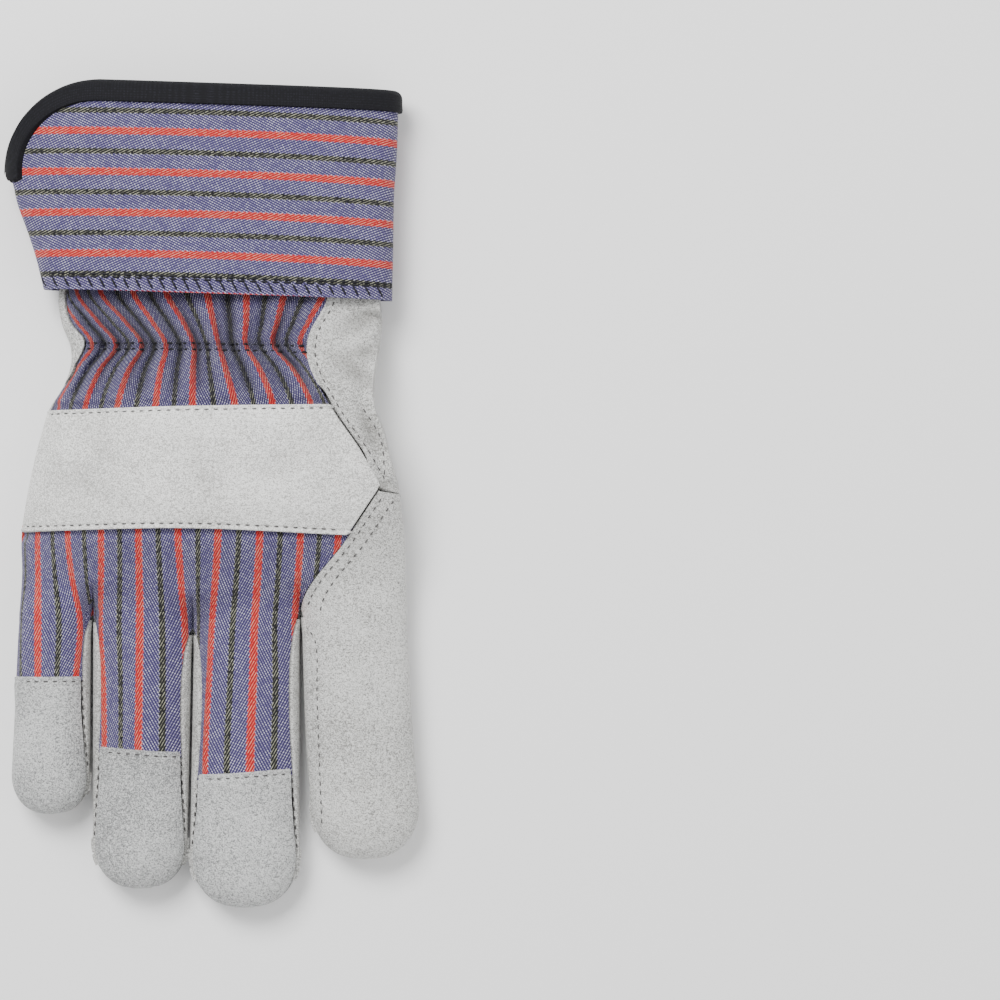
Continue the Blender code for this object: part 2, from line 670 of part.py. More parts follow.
def thumb():
    """Thumb folded under the palm, with the wing of leather that wraps the thumb side of the hand."""
    sheet = Sheet("thumb", LEATHER, LEATHER_GREY)
    inner, outer, tip = thumb_points()
    around = np.linspace(0, math.pi, 12)
    q = (0.5 - 0.5 * np.cos(around))[:, None]
    round_off = bulge(np.cos(around))
    lines = []
    for n, share in enumerate(THUMB_SIDES["height"]):
        plan = inner[n] + (outer[n] - inner[n]) * q
        half = thumb_height(plan[:, 1]) * share / 2
        middle = floor_height(plan[:, 1]) + thumb_height(plan[:, 1]) / 2
        lower = stack(plan[:, 0], plan[:, 1], middle - half * round_off)
        upper = stack(plan[:, 0], plan[:, 1], middle + half * round_off)
        lines.append(np.vstack([lower, upper[::-1][1:]]))
    end = np.tile([tip[0, 0], tip[0, 1], THUMB_HEIGHT / 2], (len(lines[0]), 1))
    sheet.grid([*lines, end], flip=True)

    root = lines[0][: len(around)]
    edge_y = station_y(1.06 + (SPLIT_EDGE - 1.06) * q[:, 0])
    back_y = station_y(1.06 + (INDEX_TOP + 0.006 - 1.06) * q[:, 0])
    edge = stack(edge_right(edge_y), edge_y, middle_height(edge_right(edge_y), edge_y))
    wing = []
    for t in (0.0, 0.3, 0.6, 0.82, 0.95, 1.0):
        plan = root + (edge - root) * t
        plan[:, 2] = edge[:, 2] - (edge[:, 2] - root[:, 2]) * (1 - t**HAND_ROUNDING) ** (1 / HAND_ROUNDING)
        wing.append(plan)
    seam = seam_share(FABRIC_RIGHT, back_y, 1)
    for t in (0.12, 0.35, 0.65, 1.0):
        y = edge_y + (back_y - edge_y) * t
        share = 1 + (seam - 1) * t
        x = share_x(share, y)
        wing.append(stack(x, y, top_height(x, y)))
    sheet.grid(wing)
    return sheet.solid()


# The safety cuff: one band, open at the mouth, with a rounded notch at the little-finger side.

CUFF_ROUNDING = 3.2
CUFF_SIDES = {
    "share": (0.0, 0.18, 0.30, 0.42, 0.54, 0.65, 1.0),
    "left": (-0.825, -0.870, -0.910, -0.955, -0.990, -1.000, -0.995),
    "right": (0.876, 0.878, 0.880, 0.884, 0.889, 0.896, 0.905),
}
HEM_STATIONS = (1.036, 0.994)
CUFF_BASE = LEATHER + LAY_GAP
CUFF_SLACK = 0.0030
CUFF_STEPS = 40
CUFF_ROWS = (1.0, 0.93, 0.83, 0.66, 0.45, 0.22, 0.0)


def hem_y(x):
    left, right = HEM_STATIONS
    return station_y(left + (right - left) * (x / CUFF_WIDTH + 0.5))


def cuff_side(side, share):
    return row(CUFF_SIDES, side, share) * CUFF_WIDTH / 2


def mouth_y(x):
    """Top edge of the cuff, rounded down to the notch at the little-finger side."""
    t = np.clip(1 - (x - cuff_side("left", 1.0)) / NOTCH_REACH, 0, 1)
    return hem_y(x) + CUFF_LENGTH - NOTCH_DEPTH * (1 - np.sqrt(1 - t * t))


def cuff_heights(share):
    """Middle height and the rises above and below it."""
    middle = CUFF_BASE + CUFF_MIDDLE * (CUFF_HEIGHT - CUFF_BASE)
    return middle, CUFF_HEIGHT - CUFF_SLACK * share - middle, middle - CUFF_BASE


def cuff_point(around, up, inset=0.0):
    """Points of the cuff: around from the notch (0) over the back to the fold (0.5) and back under it (1),
    up from the hem (0) to the mouth (1). A section is a rounded box, made smaller by inset on every side."""
    angle = math.pi * (1 - 2 * np.asarray(around, float))
    cosine = np.sign(np.cos(angle)) * np.abs(np.cos(angle)) ** (2 / CUFF_ROUNDING)
    sine = np.sign(np.sin(angle)) * np.abs(np.sin(angle)) ** (2 / CUFF_ROUNDING)
    share = np.asarray(up, float) + 0 * angle
    for _ in range(6):
        left, right = cuff_side("left", share), cuff_side("right", share)
        x = (left + right) / 2 + (right - left) / 2 * cosine
        y = hem_y(x) + (mouth_y(x) - hem_y(x)) * up
        share = (y - hem_y(x)) / CUFF_LENGTH
    middle, above, below = cuff_heights(share)
    return stack(x - inset * cosine, y, middle + (np.where(sine > 0, above, below) - inset) * sine)


def cuff_under(x, y):
    """Height of the cuff's lower face."""
    share = (y - hem_y(x)) / CUFF_LENGTH
    left, right = cuff_side("left", share), cuff_side("right", share)
    t = np.clip(2 * (x - left) / (right - left) - 1, -1, 1)
    middle, _, below = cuff_heights(share)
    return middle - below * (1 - np.abs(t) ** CUFF_ROUNDING) ** (1 / CUFF_ROUNDING)


def around_steps(count):
    """Even steps round the cuff, closer together at the notch and the fold."""
    t = np.linspace(0, 1, count + 1)
    return t - 0.055 * np.sin(4 * math.pi * t) / (2 * math.pi) * 2


def ring(name, loops, colour, ends=()):
    """Solid whose section, one point of every loop, is carried round the loops. Faces of ends, each a few loops'
    numbers, close an open ring."""
    bm = bmesh.new()
    sections = [[bm.verts.new(p) for p in section] for section in np.stack(loops, axis=1)]
    following = sections[1:] if ends else sections[1:] + sections[:1]
    for a, b in zip(sections, following):
        for j in range(len(a)):
            k = (j + 1) % len(a)
            bm.faces.new([a[j], a[k], b[k], b[j]])
    for face in ends:
        bm.faces.new([sections[0][k] for k in face])
        bm.faces.new([sections[-1][k] for k in reversed(face)])
    bmesh.ops.triangulate(bm, faces=bm.faces)
    bmesh.ops.recalc_face_normals(bm, faces=bm.faces)
    mesh = bpy.data.meshes.new(name)
    bm.to_mesh(mesh)
    bm.free()
    return add_object(name, mesh, colour)


def cuff():
    around = around_steps(CUFF_STEPS)[:-1]
    outer = [cuff_point(around, up) for up in CUFF_ROWS]
    inner = [cuff_point(around, up, CUFF_WALL) for up in CUFF_ROWS[::-1]]
    return ring("cuff", outer + inner, FABRIC_BLUE)


def cuff_binding():
    """Tape folded over the cuff's top edge, from the notch right round to the notch."""
    around = around_steps(CUFF_STEPS)[2:-2]
    edge = cuff_point(around, 1.0)
    length = (edge - cuff_point(around, 0.0))[:, 1]
    near, far = BINDING_GAP, BINDING_GAP + BINDING_WALL
    arm = BINDING_WIDTH - far
    back_near, back_far = CUFF_WALL + near, CUFF_WALL + far
    outside = ((-far, arm), (-far, arm / 2), (-far, -near), (-near, -far))
    over = ((back_near, -far), (back_far, -near), (back_far, arm))
    inside = ((back_near, arm), (back_near, -near), (-near, -near), (-near, arm / 2), (-near, arm))
    loops = []
    for inset, down in outside + over + inside:
        loop = cuff_point(around, 1 - max(down, 0.0) / length, inset)
        loop[:, 1] -= min(down, 0.0)
        loops.append(loop)
    ends = ((0, 1, 10, 11), (1, 2, 9, 10), (2, 3, 9), (3, 4, 8, 9), (4, 5, 8), (5, 6, 7, 8))
    return ring("cuff_binding", loops, BINDING_BLACK, ends)


# Patch on the palm side of the cuff. Share: of CUFF_LENGTH up from the hem. Edges: shares of half of CUFF_WIDTH.
PATCH = {
    "share": (0.03, 0.17, 0.29, 0.40, 0.46, 0.50, 0.52),
    "left": (-0.75, -0.79, -0.81, -0.80, -0.66, -0.43, -0.30),
    "right": (0.226, 0.30, 0.33, 0.275, 0.20, 0.10, 0.02),
}


def cuff_patch():
    """Leather patch sewn on the palm side of the cuff, flat under it."""
    sheet = Sheet("cuff_patch", LEATHER, LEATHER_GREY)
    lines = []
    for share in (0.03, 0.10, 0.17, 0.24, 0.29, 0.35, 0.40, 0.44, 0.47, 0.50, 0.52):
        left, right = (row(PATCH, side, share) * CUFF_WIDTH / 2 for side in ("left", "right"))
        x = left + (right - left) * np.linspace(0, 1, 11)
        y = hem_y(x) + share * CUFF_LENGTH
        lines.append(stack(x, y, cuff_under(x, y) - CUFF_BASE))
    sheet.grid(lines)
    return sheet.solid()


def rest_on_origin(objects):
    """Moves the glove so that the middle of its rest face is the origin."""
    points = np.array([v.co for obj in objects for v in obj.data.vertices])
    low, high = points.min(axis=0), points.max(axis=0)
    middle = (low + high) / 2
    for obj in objects:
        obj.data.transform(Matrix.Translation((-middle[0], -middle[1], -low[2])))


def main():
    for obj in list(bpy.data.objects):
        bpy.data.objects.remove(obj)
    collection = bpy.data.collections.new("work_glove")
    bpy.context.scene.collection.children.link(collection)
    pieces = [cuff(), cuff_binding(), cuff_patch(), wrist_back()]
    pieces += [knuckle_strap(), finger_back(), palm_leather(), thumb()]
    pieces += [finger_front(name) for name in ("ring", "middle")]
    pieces += [finger_cap(name) for name in ("little", "ring", "middle")]
    pieces.append(strip("little_fourchette", FINGERS["little"], 1))
    for name in ("ring", "middle"):
        pieces.append(strip(name + "_fourchette_little_side", FINGERS[name], -1))
        pieces.append(strip(name + "_fourchette_thumb_side", FINGERS[name], 1))
    pieces.append(strip("index_fourchette", FINGERS["index"], -1))
    rest_on_origin(pieces)


main()
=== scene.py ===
"""Looks of the leather palm work glove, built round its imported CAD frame.

Metres, +Z up, +Y towards the cuff, +X towards the thumb side. Every piece repeats the surface formula of the
solid that it stands for, on a finer grid, and adds what cloth and leather do: gathers, creases, rolled edges,
stitches, weave and nap. Formulas are in the glove's own frame, whose Y starts at the crotches of the fingers,
and a finished piece is moved to its solid.
"""

import math

import bpy
import numpy as np
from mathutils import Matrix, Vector
from mathutils.bvhtree import BVHTree


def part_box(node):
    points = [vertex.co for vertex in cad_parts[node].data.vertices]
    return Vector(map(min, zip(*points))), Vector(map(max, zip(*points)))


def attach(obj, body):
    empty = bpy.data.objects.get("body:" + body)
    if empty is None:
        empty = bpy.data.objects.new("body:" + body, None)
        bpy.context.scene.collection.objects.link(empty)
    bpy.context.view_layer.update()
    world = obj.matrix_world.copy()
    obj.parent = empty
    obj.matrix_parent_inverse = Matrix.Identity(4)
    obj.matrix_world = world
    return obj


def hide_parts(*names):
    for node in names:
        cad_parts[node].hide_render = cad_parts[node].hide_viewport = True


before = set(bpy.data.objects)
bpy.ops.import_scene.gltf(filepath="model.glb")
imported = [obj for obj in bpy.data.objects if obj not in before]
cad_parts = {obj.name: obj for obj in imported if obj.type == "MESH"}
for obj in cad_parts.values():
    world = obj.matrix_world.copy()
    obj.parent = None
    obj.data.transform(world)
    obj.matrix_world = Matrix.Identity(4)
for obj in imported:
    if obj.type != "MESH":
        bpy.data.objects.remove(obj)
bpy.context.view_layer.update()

# Sizes of the solids.
HAND_WIDTH = 0.1216
HAND_LENGTH = 0.1000
HAND_HEIGHT = 0.0240
SIDE_HEIGHT = 0.0095
THUMB_SIDE_HEIGHT = 0.0175
FINGER_HEIGHT = 0.0200
THUMB_HEIGHT = 0.0160
THUMB_RAISE = 0.0090
RAISE_REACH = 0.0360
PALM_SLOPE = 0.0170
PALM_LAP = 0.0035
REST_FLAT = 0.0012
VALLEY_REACH = 0.12
LAP_FADE = 1.6
KNUCKLE_REACH = 0.42
CUFF_LENGTH = 0.0640
CUFF_WIDTH = 0.1300
CUFF_HEIGHT = 0.0270
CUFF_MIDDLE = 0.36
CUFF_CORNER = 0.0024
CUFF_ROUNDING = 3.2
CUFF_SLACK = 0.0030
NOTCH_DEPTH = 0.0290
NOTCH_REACH = 0.0300
STRAP_PROUD = 0.0009
LEATHER = 0.0016
FABRIC = 0.0012
CUFF_WALL = 0.0024
SEAM_GAP = 0.0005
LAY_GAP = 0.0004
BACK_SEAM_GAP = 0.0008
THUMB_CLEAR = 0.0018
BACK_ROOM = 0.0048
HAND_ROUNDING = 2.6
TIP_ROUNDING = 0.80
GAP_AT_ROOT = 0.00035

OUTLINE = {
    "station": (-0.04, 0.12, 0.27, 0.35, 0.43, 0.50, 0.58, 0.65, 0.73, 0.81, 0.85, 0.92, 1.00, 1.10),
    "left": (
        *(-1.02, -1.00, -1.00, -0.98, -0.955, -0.93, -0.895),
        *(-0.86, -0.78, -0.742, -0.747, -0.79, -0.81, -0.78),
    ),
    "right": (1.016, 1.01, 1.00, 0.985, 0.965, 0.93, 0.90, 0.855, 0.845, 0.863, 0.873, 0.885, 0.875, 0.85),
    "top": (0.84, 0.90, 0.97, 1.00, 1.00, 1.00, 0.98, 0.94, 0.86, 0.78, 0.77, 0.79, 0.80, 0.80),
}
THUMB_EDGE = {
    "station": (0.0, 0.16, 0.26, 0.42, 0.70, 0.95, 1.10),
    "height": (0.55, 0.75, 0.98, 1.00, 0.85, 0.70, 0.70),
}
THUMB_FADE = {"station": (0.0, 0.72, 0.84, 1.00, 1.10), "share": (1.0, 1.0, 0.72, 0.30, 0.30)}
CROTCHES = {"place": (-1.02, -0.633, -0.105, 0.457, 1.016), "drop": (0.0, 0.0, 0.042, -0.012, -0.01)}
FABRIC_LEFT = {
    "station": (0.64, 0.71, 0.76, 0.80, 0.84, 0.87, 0.92, 1.00, 1.10),
    "place": (-0.87, -0.80, -0.735, -0.71, -0.675, -0.668, -0.735, -0.77, -0.74),
}
FABRIC_RIGHT = {
    "station": (0.406, 0.51, 0.67, 0.83, 0.88, 1.00, 1.10),
    "place": (0.895, 0.80, 0.625, 0.513, 0.521, 0.615, 0.62),
}
INDEX_SEAM = {"station": (-0.02, 0.012, 0.249, 0.40), "place": (0.457, 0.457, 0.715, 0.88)}
THUMB_SIDES = {
    "inner_x": (0.430, 0.345, 0.253, 0.074, -0.085, -0.227, -0.339, -0.442, -0.493, -0.487, -0.430),
    "inner_y": (1.045, 0.962, 0.880, 0.742, 0.640, 0.540, 0.455, 0.374, 0.285, 0.205, 0.135),
    "outer_x": (0.945, 0.845, 0.740, 0.589, 0.437, 0.313, 0.197, 0.082, -0.040, -0.180, -0.310),
    "outer_y": (0.372, 0.355, 0.335, 0.300, 0.274, 0.225, 0.160, 0.090, 0.048, 0.044, 0.075),
    "height": (1.0, 1.0, 1.0, 1.0, 1.0, 1.0, 1.0, 1.0, 0.97, 0.86, 0.55),
}
THUMB_TIP = (-0.385, 0.098)
CUFF_SIDES = {
    "share": (0.0, 0.18, 0.30, 0.42, 0.54, 0.65, 1.0),
    "left": (-0.825, -0.870, -0.910, -0.955, -0.990, -1.000, -0.995),
    "right": (0.876, 0.878, 0.880, 0.884, 0.889, 0.896, 0.905),
}
HEM_STATIONS = (1.036, 0.994)

HALF_WIDTH = HAND_WIDTH / 2
HALF_GAP = SEAM_GAP / 2
CROTCH_X = np.array(CROTCHES["place"]) * HALF_WIDTH
CUFF_BASE = LEATHER + LAY_GAP
WELD = 2e-6

# The patch under the cuff and the strap's edges, as shares of the cuff and as stations of the hand.
PATCH = {
    "share": (0.03, 0.17, 0.29, 0.40, 0.46, 0.50, 0.52),
    "left": (-0.75, -0.79, -0.81, -0.80, -0.66, -0.43, -0.30),
    "right": (0.226, 0.30, 0.33, 0.275, 0.20, 0.10, 0.02),
}
STRAP_EDGES = {"share": (0.0, 0.5, 1.0), "low": (0.258, 0.271, 0.249), "high": (0.652, 0.664, 0.670)}

# Stations of the seam at the thumb side: the end of the thumb's root, and the index finger's top edge.
SPLIT = 0.372
SPLIT_EDGE = 0.385
INDEX_TOP = 0.398
WING_TOP = 1.06

# Cloth: distance between two red stripes, widths of the stripes, slope and spacing of the twill's rows.
STRIPE = 0.0129
RED_WIDTH = 0.0023
BLACK_WIDTH = 0.0018
STRIPE_BLUR = 0.00012
TWILL_SLOPE = 0.47
TWILL_ROW = 0.00080
FLOAT_LENGTH = 0.00078
HEM_COUNT = 0.17
HEM_ARCH = 0.0012

# The little-finger side's wall, on which the stripes run on round.
WALL_X = -0.030
WALL_TOP = 0.0150
WALL_STRETCH = 0.9

# Edges, folds and threads.
EDGE_RADIUS = 0.0013
TUCK_LENGTH = 0.0045
EDGE_CLEAR = 0.0004
TUCK_REACH = 0.0030
SEAM_TIGHT = 0.45
SEAM_COVER = 0.0016
FOLD_DEPTH = 0.0030
ELASTIC_STATION = 0.85
TAPE_PROUD = 0.0014
TAPE_WIDTH = 0.0042
TAPE_TAIL = 0.0034
THREAD = 0.00021
THREAD_SIDES = 5
THREAD_DIP = (-1.0, 0.35, 0.8, 0.35, -1.0)
THREAD_THICK = (0.35, 1.0, 1.1, 1.0, 0.35)
STITCH = 0.0019
STITCH_GAP = 0.0011
STITCH_INSET = {"low": 0.0021, "high": 0.0017}

# The stage. The frame's middle is in the glove's own frame.
FLOOR_Z = -0.0006
VIEW_WIDTH = 0.320
CAMERA_HEIGHT = 1.6
FRAME_MIDDLE = (0.0912, 0.0364)

FINGERS = {
    "little": {"crotches": (0, 1), "length": 0.0634, "end": (-0.850, 0.205), "bow": 0.0, "cap": 0.38},
    "ring": {"crotches": (1, 2), "length": 0.0871, "end": (-0.382, 0.248), "bow": 0.0, "cap": 0.575},
    "middle": {"crotches": (2, 3), "length": 0.0932, "end": (0.165, 0.287), "bow": 0.0, "cap": 0.645},
    "index": {"crotches": (3, 4), "length": 0.0778, "end": (0.775, 0.285), "bow": 0.02},
}
FINGER_STEPS = 26
STRAIGHT_SHARE, TIP_SHARE = 0.86, 0.14
STRIP_GAP = 1.2 * HALF_GAP / SIDE_HEIGHT
SIDE_STRIP = math.radians(34)
UNDER_STRIP = math.radians(8)
TIP_ANGLES = np.radians(np.concatenate([np.arange(8, 80, 8), [82, 86, 90]]))


# The solid's surfaces: the hand, its fingers and the cuff.


def row(table, column, at):
    """Smooth value of a table's column at the places given: a soft cubic through its rows."""
    keys = np.array(next(iter(table.values())), float)
    values = np.array(table[column], float)
    slopes = np.gradient(values, keys)
    at = np.clip(np.asarray(at, float), keys[0], keys[-1])
    i = np.clip(np.searchsorted(keys, at) - 1, 0, len(keys) - 2)
    step = keys[i + 1] - keys[i]
    t = (at - keys[i]) / step
    rise = t * t * (3 - 2 * t)
    return (
        values[i] * (1 - rise)
        + values[i + 1] * rise
        + step * slopes[i] * t * (1 - t) ** 2
        - step * slopes[i + 1] * t * t * (1 - t)
    )


def smooth(x):
    """0 below 0, 1 above 1 and 3 x squared minus 2 x cubed between them."""
    x = np.clip(x, 0.0, 1.0)
    return x * x * (3 - 2 * x)


def ridge(distance, width):
    """1 at no distance, falling away on a bell curve: e to the minus distance over width, squared."""
    return np.exp(-((distance / width) ** 2))


def quarter(t):
    """Drop of a quarter circle: 1 minus the root of 1 minus t squared."""
    return 1 - np.sqrt(1 - t * t)


def unit(vectors):
    """Vectors of length 1."""
    return vectors / np.maximum(np.linalg.norm(vectors, axis=-1, keepdims=True), 1e-12)


def station_y(station):
    """Y of a station: its share of the hand's length, from the crotches up."""
    return np.asarray(station, float) * HAND_LENGTH


def y_station(y):
    """Station of a Y."""
    return np.asarray(y, float) / HAND_LENGTH


def edge_left(y):
    """X of the little-finger edge."""
    return row(OUTLINE, "left", y_station(y)) * HALF_WIDTH


def edge_right(y):
    """X of the thumb edge."""
    return row(OUTLINE, "right", y_station(y)) * HALF_WIDTH


def across(x, y):
    """Place across the hand, -1 at the little-finger edge and 1 at the thumb edge."""
    left, right = edge_left(y), edge_right(y)
    return np.clip(2 * (x - left) / (right - left) - 1, -1.0, 1.0)


def bulge(t):
    """Quarter of a rounded box: 1 in the middle and 0 at t = 1 or -1."""
    return (1 - np.abs(t) ** HAND_ROUNDING) ** (1 / HAND_ROUNDING)


def middle_height(x, y):
    """Height at which the back and the palm meet, rising from the little-finger edge to the thumb edge."""
    right = THUMB_SIDE_HEIGHT * row(THUMB_EDGE, "height", y_station(y))
    share = smooth((across(x, y) + 1) / 2) * (1 - lobes(x, y))
    return SIDE_HEIGHT + (right - SIDE_HEIGHT) * share


def thumb_points():
    """Plan points of the thumb's inner side, its outer side and its tip."""
    rows = THUMB_SIDES
    inner = np.column_stack([np.array(rows["inner_x"]) * HALF_WIDTH, station_y(rows["inner_y"])])
    outer = np.column_stack([np.array(rows["outer_x"]) * HALF_WIDTH, station_y(rows["outer_y"])])
    tip = np.array([[THUMB_TIP[0] * HALF_WIDTH, THUMB_TIP[1] * HAND_LENGTH]])
    return inner, outer, tip


def thumb_distance(x, y):
    """Signed distance in plan to the thumb's outline, negative over the thumb and over its root."""
    inner, outer, tip = thumb_points()
    beyond = np.array([[outer[0, 0] + PALM_SLOPE, inner[0, 1] + PALM_SLOPE]])
    loop = np.vstack([inner, tip, outer[::-1], beyond])
    points = np.stack(np.broadcast_arrays(x, y), axis=-1)[..., None, :]
    start, end = loop, np.roll(loop, -1, axis=0)
    run = end - start
    t = np.clip(((points - start) * run).sum(-1) / (run**2).sum(-1), 0, 1)
    distance = np.sqrt(((points - start - t[..., None] * run) ** 2).sum(-1)).min(-1)
    above = (start[:, 1] > points[..., 1]) != (end[:, 1] > points[..., 1])
    rise = np.where(run[:, 1] == 0, 1e-9, run[:, 1])
    crossing = start[:, 0] + (points[..., 1] - start[:, 1]) * run[:, 0] / rise
    inside = (above & (points[..., 0] < crossing)).sum(-1) % 2 == 1
    return np.where(inside, -distance, distance)


def floor_height(y):
    """Lowest height of the hand tube: the floor, or above the cuff's wall where it is tucked in."""
    room = LEATHER + LAY_GAP + CUFF_WALL + LAY_GAP + CUFF_CORNER
    return room * smooth((y_station(y) - 0.915) / 0.055)


def thumb_height(y):
    """Height of the thumb, which fades towards the cuff."""
    return THUMB_HEIGHT * row(THUMB_FADE, "share", y_station(y))


def finger_share(x):
    """Rise of the finger lobes at the crotch row: 0 at each crotch, 1 in the middle of each finger."""
    i = np.clip(np.searchsorted(CROTCH_X, x) - 1, 0, len(CROTCH_X) - 2)
    t = np.clip(2 * (x - CROTCH_X[i]) / (CROTCH_X[i + 1] - CROTCH_X[i]) - 1, -1, 1)
    return np.sqrt(1 - t * t)


def crotch_y(x):
    """Y of the row of crotches."""
    return -row(CROTCHES, "drop", np.clip(x / HALF_WIDTH, -1.02, 1.016)) * HAND_LENGTH


def lobes(x, y):
    """1 at the crotches, 0 from the knuckles up."""
    station = y_station(y - crotch_y(x))
    return 1 - smooth(station / VALLEY_REACH)


def profile(x, y):
    """Rise from edge to middle: one broad arch over the hand, a lobe for each finger at the crotches."""
    m = lobes(x, y)
    left, right = edge_left(y), edge_right(y)
    spread = CROTCH_X[0] + (x - left) / (right - left) * (CROTCH_X[-1] - CROTCH_X[0])
    return (1 - m) * bulge(across(x, y)) + m * finger_share(spread)


def top_height(x, y):
    """The back: an arch from edge to edge, raised over the thumb."""
    middle = middle_height(x, y)
    near = smooth(1 - thumb_distance(x, y) / RAISE_REACH) * thumb_height(y) / THUMB_HEIGHT
    near = near * smooth(y_station(y - crotch_y(x)) / KNUCKLE_REACH)
    m = lobes(x, y)
    top = HAND_HEIGHT * row(OUTLINE, "top", y_station(y)) + THUMB_RAISE * near
    top = (1 - m) * top + m * FINGER_HEIGHT
    top = middle + (top - middle) * profile(x, y)
    low = bottom_height(x, y)
    return np.where(low > middle, np.maximum(top, low + BACK_ROOM), top)


def bottom_height(x, y):
    """The palm: on the floor, and lifted over the thumb."""
    middle = middle_height(x, y)
    over = smooth(1 - (thumb_distance(x, y) + PALM_LAP) / PALM_SLOPE) * (1 - lobes(x, y) ** LAP_FADE)
    low = -REST_FLAT + (floor_height(y) + thumb_height(y) + THUMB_CLEAR + REST_FLAT) * over
    low = np.where(low > middle, low, middle - (middle - low) * profile(x, y))
    return np.maximum(low, floor_height(y))


def stack(x, y, z):
    """Points of these coordinates."""
    return np.stack(np.broadcast_arrays(x, y, z), axis=-1)


def share_x(share, y):
    """X of a share across the hand, 0 at the little-finger edge."""
    return edge_left(y) + (edge_right(y) - edge_left(y)) * share


def place_share(place):
    """Share across of a place on the crotch row."""
    return (place - CROTCH_X[0]) / (CROTCH_X[-1] - CROTCH_X[0])


def x_share(x, y):
    """Share across the hand of an X."""
    return (x - edge_left(y)) / (edge_right(y) - edge_left(y))


def back(share, y, lift=0.0):
    """Points of the back, lift above it. The edge stays half a gap over the middle height."""
    x = share_x(share, y)
    z = np.maximum(top_height(x, y), middle_height(x, y) + HALF_GAP)
    return stack(x, y, z + lift)


def steepness(x, y):
    """How much longer a wall measures upright than square to a sloping back, up to three times."""
    step, most = 0.0005, 3.0
    slope = (top_height(x + step, y) - top_height(x - step, y)) / (2 * step)
    rise = (top_height(x, y + step) - top_height(x, y - step)) / (2 * step)
    return np.minimum(np.sqrt(1 + slope**2 + rise**2), most)


def palm(share, y):
    """Points of the palm. Its edge stays half a gap under the middle height."""
    x = share_x(share, y)
    z, middle = bottom_height(x, y), middle_height(x, y)
    z = np.where(z > middle, z, np.minimum(z, middle - HALF_GAP))
    return stack(x, y, np.maximum(z, floor_height(y)))


def finger_angle_places(finger, angle, apart=(0.0, 0.0)):
    """Place on the crotch row of the points at this angle, 0 on the thumb side and 180 degrees opposite."""
    low, high = CROTCH_X[list(finger["crotches"])]
    return np.clip((low + high) / 2 + (high - low) / 2 * np.cos(angle), low + apart[0], high - apart[1])


def finger_points(finger, v, tip, angle, apart=(0.0, 0.0)):
    """Points of a finger: v from the crotch row (0) to where the tip starts (1), tip from 0 to 90 degrees.
    A section is an ellipse whose lower side is cut flat by the floor. Apart keeps the root clear of the
    crotch on the little-finger side and on the thumb side."""
    place = finger_angle_places(finger, angle, apart)
    root_y = crotch_y(place)
    root_x = share_x(place_share(place), root_y)
    low, high = CROTCH_X[list(finger["crotches"])]
    end_x, end_half = (share * HALF_WIDTH for share in finger["end"])
    half = (high - low) / 2 - GAP_AT_ROOT
    half = half + (end_half - half) * v
    centre = (low + high) / 2
    centre = centre + (end_x - centre) * v + finger["bow"] * HALF_WIDTH * v**4
    close = np.cos(tip) ** TIP_ROUNDING
    blend = smooth(v / 0.14)
    x = root_x * (1 - blend) + (centre + half * np.cos(angle) * close) * blend
    end_y = -finger["length"] + end_half
    y = root_y + (end_y - root_y) * v - end_half * np.sin(tip)
    rise = np.sign(np.sin(angle)) * finger_share(place) * (1 - blend) + np.sin(angle) * close * blend
    up = SIDE_HEIGHT + (FINGER_HEIGHT - SIDE_HEIGHT) * rise
    down = np.maximum(SIDE_HEIGHT + (SIDE_HEIGHT + REST_FLAT) * rise, 0.0)
    above, below = SIDE_HEIGHT + HALF_GAP, SIDE_HEIGHT - HALF_GAP
    z = np.where(np.sin(angle) > 0, np.maximum(up, above), np.minimum(down, below))
    return stack(x, y, z)


def strip_widths(along):
    """Angles that the side strip takes above and below the middle, from a point at the crotch to the tip."""
    lens = np.sin(math.pi * np.clip(along, 0, 1) ** 0.55) ** 0.7
    return SIDE_STRIP * lens, UNDER_STRIP * lens


def along_finger(v, tip):
    """Share of the way from the crotch to the very tip."""
    return STRAIGHT_SHARE * v + TIP_SHARE * math.sin(tip)


def left_wrap(y):
    """Share across of the leather's edge on the back of the wrist, 0 where it stops at the side."""
    share = x_share(row(FABRIC_LEFT, "place", y_station(y)) * HALF_WIDTH, y)
    return np.maximum(share, 0.0) * smooth((y_station(y) - 0.70) / 0.05)


def root_share(y):
    """Share across of the palm's edge along the root of the thumb."""
    inner, outer, _ = thumb_points()
    t = np.clip((inner[0, 1] - y) / (inner[0, 1] - outer[0, 1]), 0, 1)
    x = inner[0, 0] + (outer[0, 0] - inner[0, 0]) * t - 2 * LEATHER
    return x_share(x, y)


def seam_share(table, y, side):
    """Share across of a back seam, just to one side of it."""
    return x_share(row(table, "place", y_station(y)) * HALF_WIDTH + side * BACK_SEAM_GAP / 2, y)


def hem_y(x):
    """Y of the cuff's hem, a straight line between its two ends."""
    left, right = HEM_STATIONS
    return station_y(left + (right - left) * (x / CUFF_WIDTH + 0.5))


def cuff_side(side, share):
    """X of the cuff's left or right side, at a share of its length."""
    return row(CUFF_SIDES, side, share) * CUFF_WIDTH / 2


def mouth_y(x):
    """Top edge of the cuff, rounded down to the notch at the little-finger side."""
    t = np.clip(1 - (x - cuff_side("left", 1.0)) / NOTCH_REACH, 0, 1)
    return hem_y(x) + CUFF_LENGTH - NOTCH_DEPTH * quarter(t)


def cuff_heights(share):
    """Middle height and the rises above and below it."""
    middle = CUFF_BASE + CUFF_MIDDLE * (CUFF_HEIGHT - CUFF_BASE)
    return middle, CUFF_HEIGHT - CUFF_SLACK * share - middle, middle - CUFF_BASE


